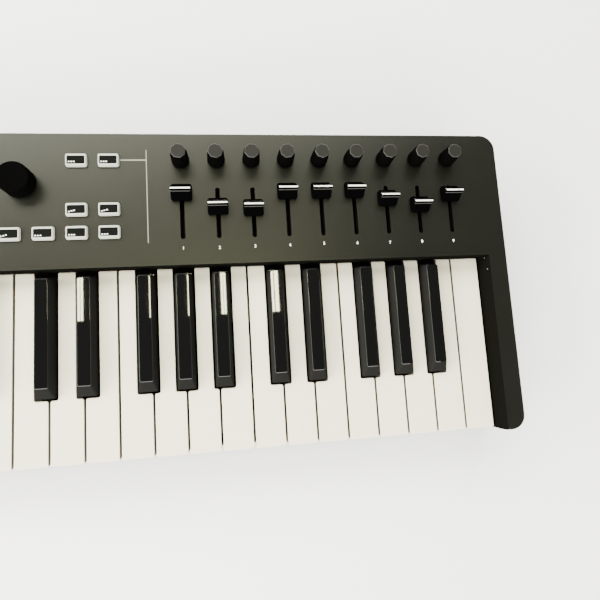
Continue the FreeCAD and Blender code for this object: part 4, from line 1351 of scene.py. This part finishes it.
# ---- studio ---------------------------------------------------------------------------------
@dataclass
class Studio:
    """Floor, soft lights and the camera.

    Attributes:
        eye: The camera's place.
        aim: A point on the panel that the camera looks at.
        roll_deg: Clockwise roll about the line of sight, from +Y up.
        lens: Focal length in millimetres on a 36 mm sensor.
        lit: The point that the lights face.
        distance: How far off they stand.
        soft_lights: Name, bearing, angle down from straight above, size and radiance of each.
        soft_color: Tint of the soft lights.
        strips: Middle and width of each ceiling strip.
        strip_span: The strips' ends.
        tube_gap: Share of a strip's width that lies dark between its two tubes.
        strip_height: How high the strips hang.
        strip_radiance: Brightness of a strip's face.
        strip_color: Tint of the strips.
        room_light: Brightness of the room.
        floor_half: Half the floor's width.
    """

    eye: tuple[float, float, float] = (0.1410, -0.0502, 0.3953)
    aim: tuple[float, float, float] = (0.1902, -0.0110, 0.0600)
    roll_deg: float = 3.616
    lens: float = 27.76
    lit: tuple[float, float, float] = (0.14, 0.0, 0.06)
    distance: float = 1.6
    soft_lights: tuple[tuple[str, float, float, tuple[float, float], float], ...] = (
        ("key", 104.0, 48.0, (2.1, 1.0), 15.0), ("right_fill", -20.0, 78.0, (1.8, 0.5), 9.0),
        ("front_fill", -95.0, 68.0, (2.0, 0.8), 19.0), ("left_fill", -172.0, 68.0, (1.8, 0.8), 25.0))
    soft_color: tuple[float, float, float] = (1.0, 0.985, 0.90)
    strips: tuple[tuple[float, float], ...] = (
        (-0.444, 0.020), (-0.176, 0.016), (-0.028, 0.014), (0.106, 0.019), (0.313, 0.034))
    strip_span: tuple[float, float] = (0.128, 0.302)
    tube_gap: float = 0.14
    strip_height: float = 1.6
    strip_radiance: float = 150.0
    strip_color: tuple[float, float, float] = (1.0, 0.98, 0.62)
    room_light: float = 0.25
    floor_half: float = 4.0

    def camera(self) -> None:
        """Places the camera over the high end of the keys."""
        data = bpy.data.cameras.new("camera")
        data.lens = self.lens
        data.sensor_width = 36.0
        camera = bpy.data.objects.new("camera", data)
        bpy.context.scene.collection.objects.link(camera)
        eye = Vector(self.eye)
        ahead = (Vector(self.aim) - eye).normalized()
        right = ahead.cross(Vector((0, 1, 0))).normalized()
        up = right.cross(ahead)
        level = Matrix((right, up, -ahead)).transposed()
        turn = level @ Matrix.Rotation(-math.radians(self.roll_deg), 3, "Z")
        camera.matrix_world = Matrix.Translation(eye) @ turn.to_4x4()
        bpy.context.scene.camera = camera

    def lamp(self, name: str, size: tuple[float, float], radiance: float,
             color: tuple[float, float, float]) -> bpy.types.Object:
        """Adds a rectangular light: its power is its radiance times pi times its area.

        Args:
            name: The light's name.
            size: Width and height.
            radiance: Brightness of its face.
            color: Tint.

        Returns:
            The light, at the origin.
        """
        data = bpy.data.lights.new(name, "AREA")
        data.shape = "RECTANGLE"
        data.size, data.size_y = size
        data.energy = radiance * math.pi * size[0] * size[1]
        data.color = color
        lamp = bpy.data.objects.new(name, data)
        bpy.context.scene.collection.objects.link(lamp)
        return lamp

    def soft_light(self, name: str, toward_deg: float, from_zenith_deg: float, size: tuple[float, float],
                   radiance: float) -> None:
        """Adds a soft light that faces the keyboard, its bearing 0 at +X and 90 at +Y."""
        lamp = self.lamp(name, size, radiance, self.soft_color)
        bearing, fall = math.radians(toward_deg), math.radians(from_zenith_deg)
        across = math.sin(fall)
        ray = Vector((math.cos(bearing) * across, math.sin(bearing) * across, math.cos(fall)))
        lamp.location = Vector(self.lit) + ray * self.distance
        lamp.rotation_euler = (-ray).to_track_quat("-Z", "Y").to_euler()

    def strip(self, name: str, x: float, width: float) -> None:
        """Hangs a pair of ceiling tubes that run along Y, as the black keys reflect."""
        tube = (1 - self.tube_gap) / 2 * width
        near, far = self.strip_span
        for number, side in enumerate((-1, 1)):
            size = (tube, far - near)
            lamp = self.lamp(f"{name}_{number + 1}", size, self.strip_radiance, self.strip_color)
            lamp.location = (x + side * (width - tube) / 2, (near + far) / 2, self.strip_height)

    def floor(self) -> None:
        """Lays a pale floor under the feet."""
        corners = rectangle(0.0, 0.0, 2 * self.floor_half, 2 * self.floor_half)
        mesh = bpy.data.meshes.new("floor")
        mesh.from_pydata(np.column_stack([corners, np.zeros(4)]).tolist(), [], [(0, 1, 2, 3)])
        material = bpy.data.materials.new("pale_floor")
        material.use_nodes = True
        shader = next(n for n in material.node_tree.nodes if n.type == "BSDF_PRINCIPLED")
        shader.inputs["Base Color"].default_value = (0.93, 0.94, 0.96, 1)
        shader.inputs["Roughness"].default_value = 0.9
        mesh.materials.append(material)
        floor = bpy.data.objects.new("floor", mesh)
        bpy.context.scene.collection.objects.link(floor)

    def sky(self) -> None:
        """Lights the room evenly."""
        world = bpy.data.worlds.new("room")
        world.use_nodes = True
        back = world.node_tree.nodes["Background"]
        back.inputs["Color"].default_value = (1.0, 1.0, 1.0, 1.0)
        back.inputs["Strength"].default_value = self.room_light
        bpy.context.scene.world = world

    def build(self) -> None:
        """Sets up the whole studio."""
        self.floor()
        self.sky()
        for row in self.soft_lights:
            self.soft_light(*row)
        for i, (x, width) in enumerate(self.strips):
            self.strip(f"strip_{i + 1}", x, width)
        self.camera()


def main() -> None:
    """Builds the sub-assemblies in order and reports them."""
    logging.basicConfig(level=logging.INFO, format="%(name)s: %(message)s")
    for kind in (Case, Keys, Panel, Studio):
        kind().build()


if __name__ == "__main__":
    main()
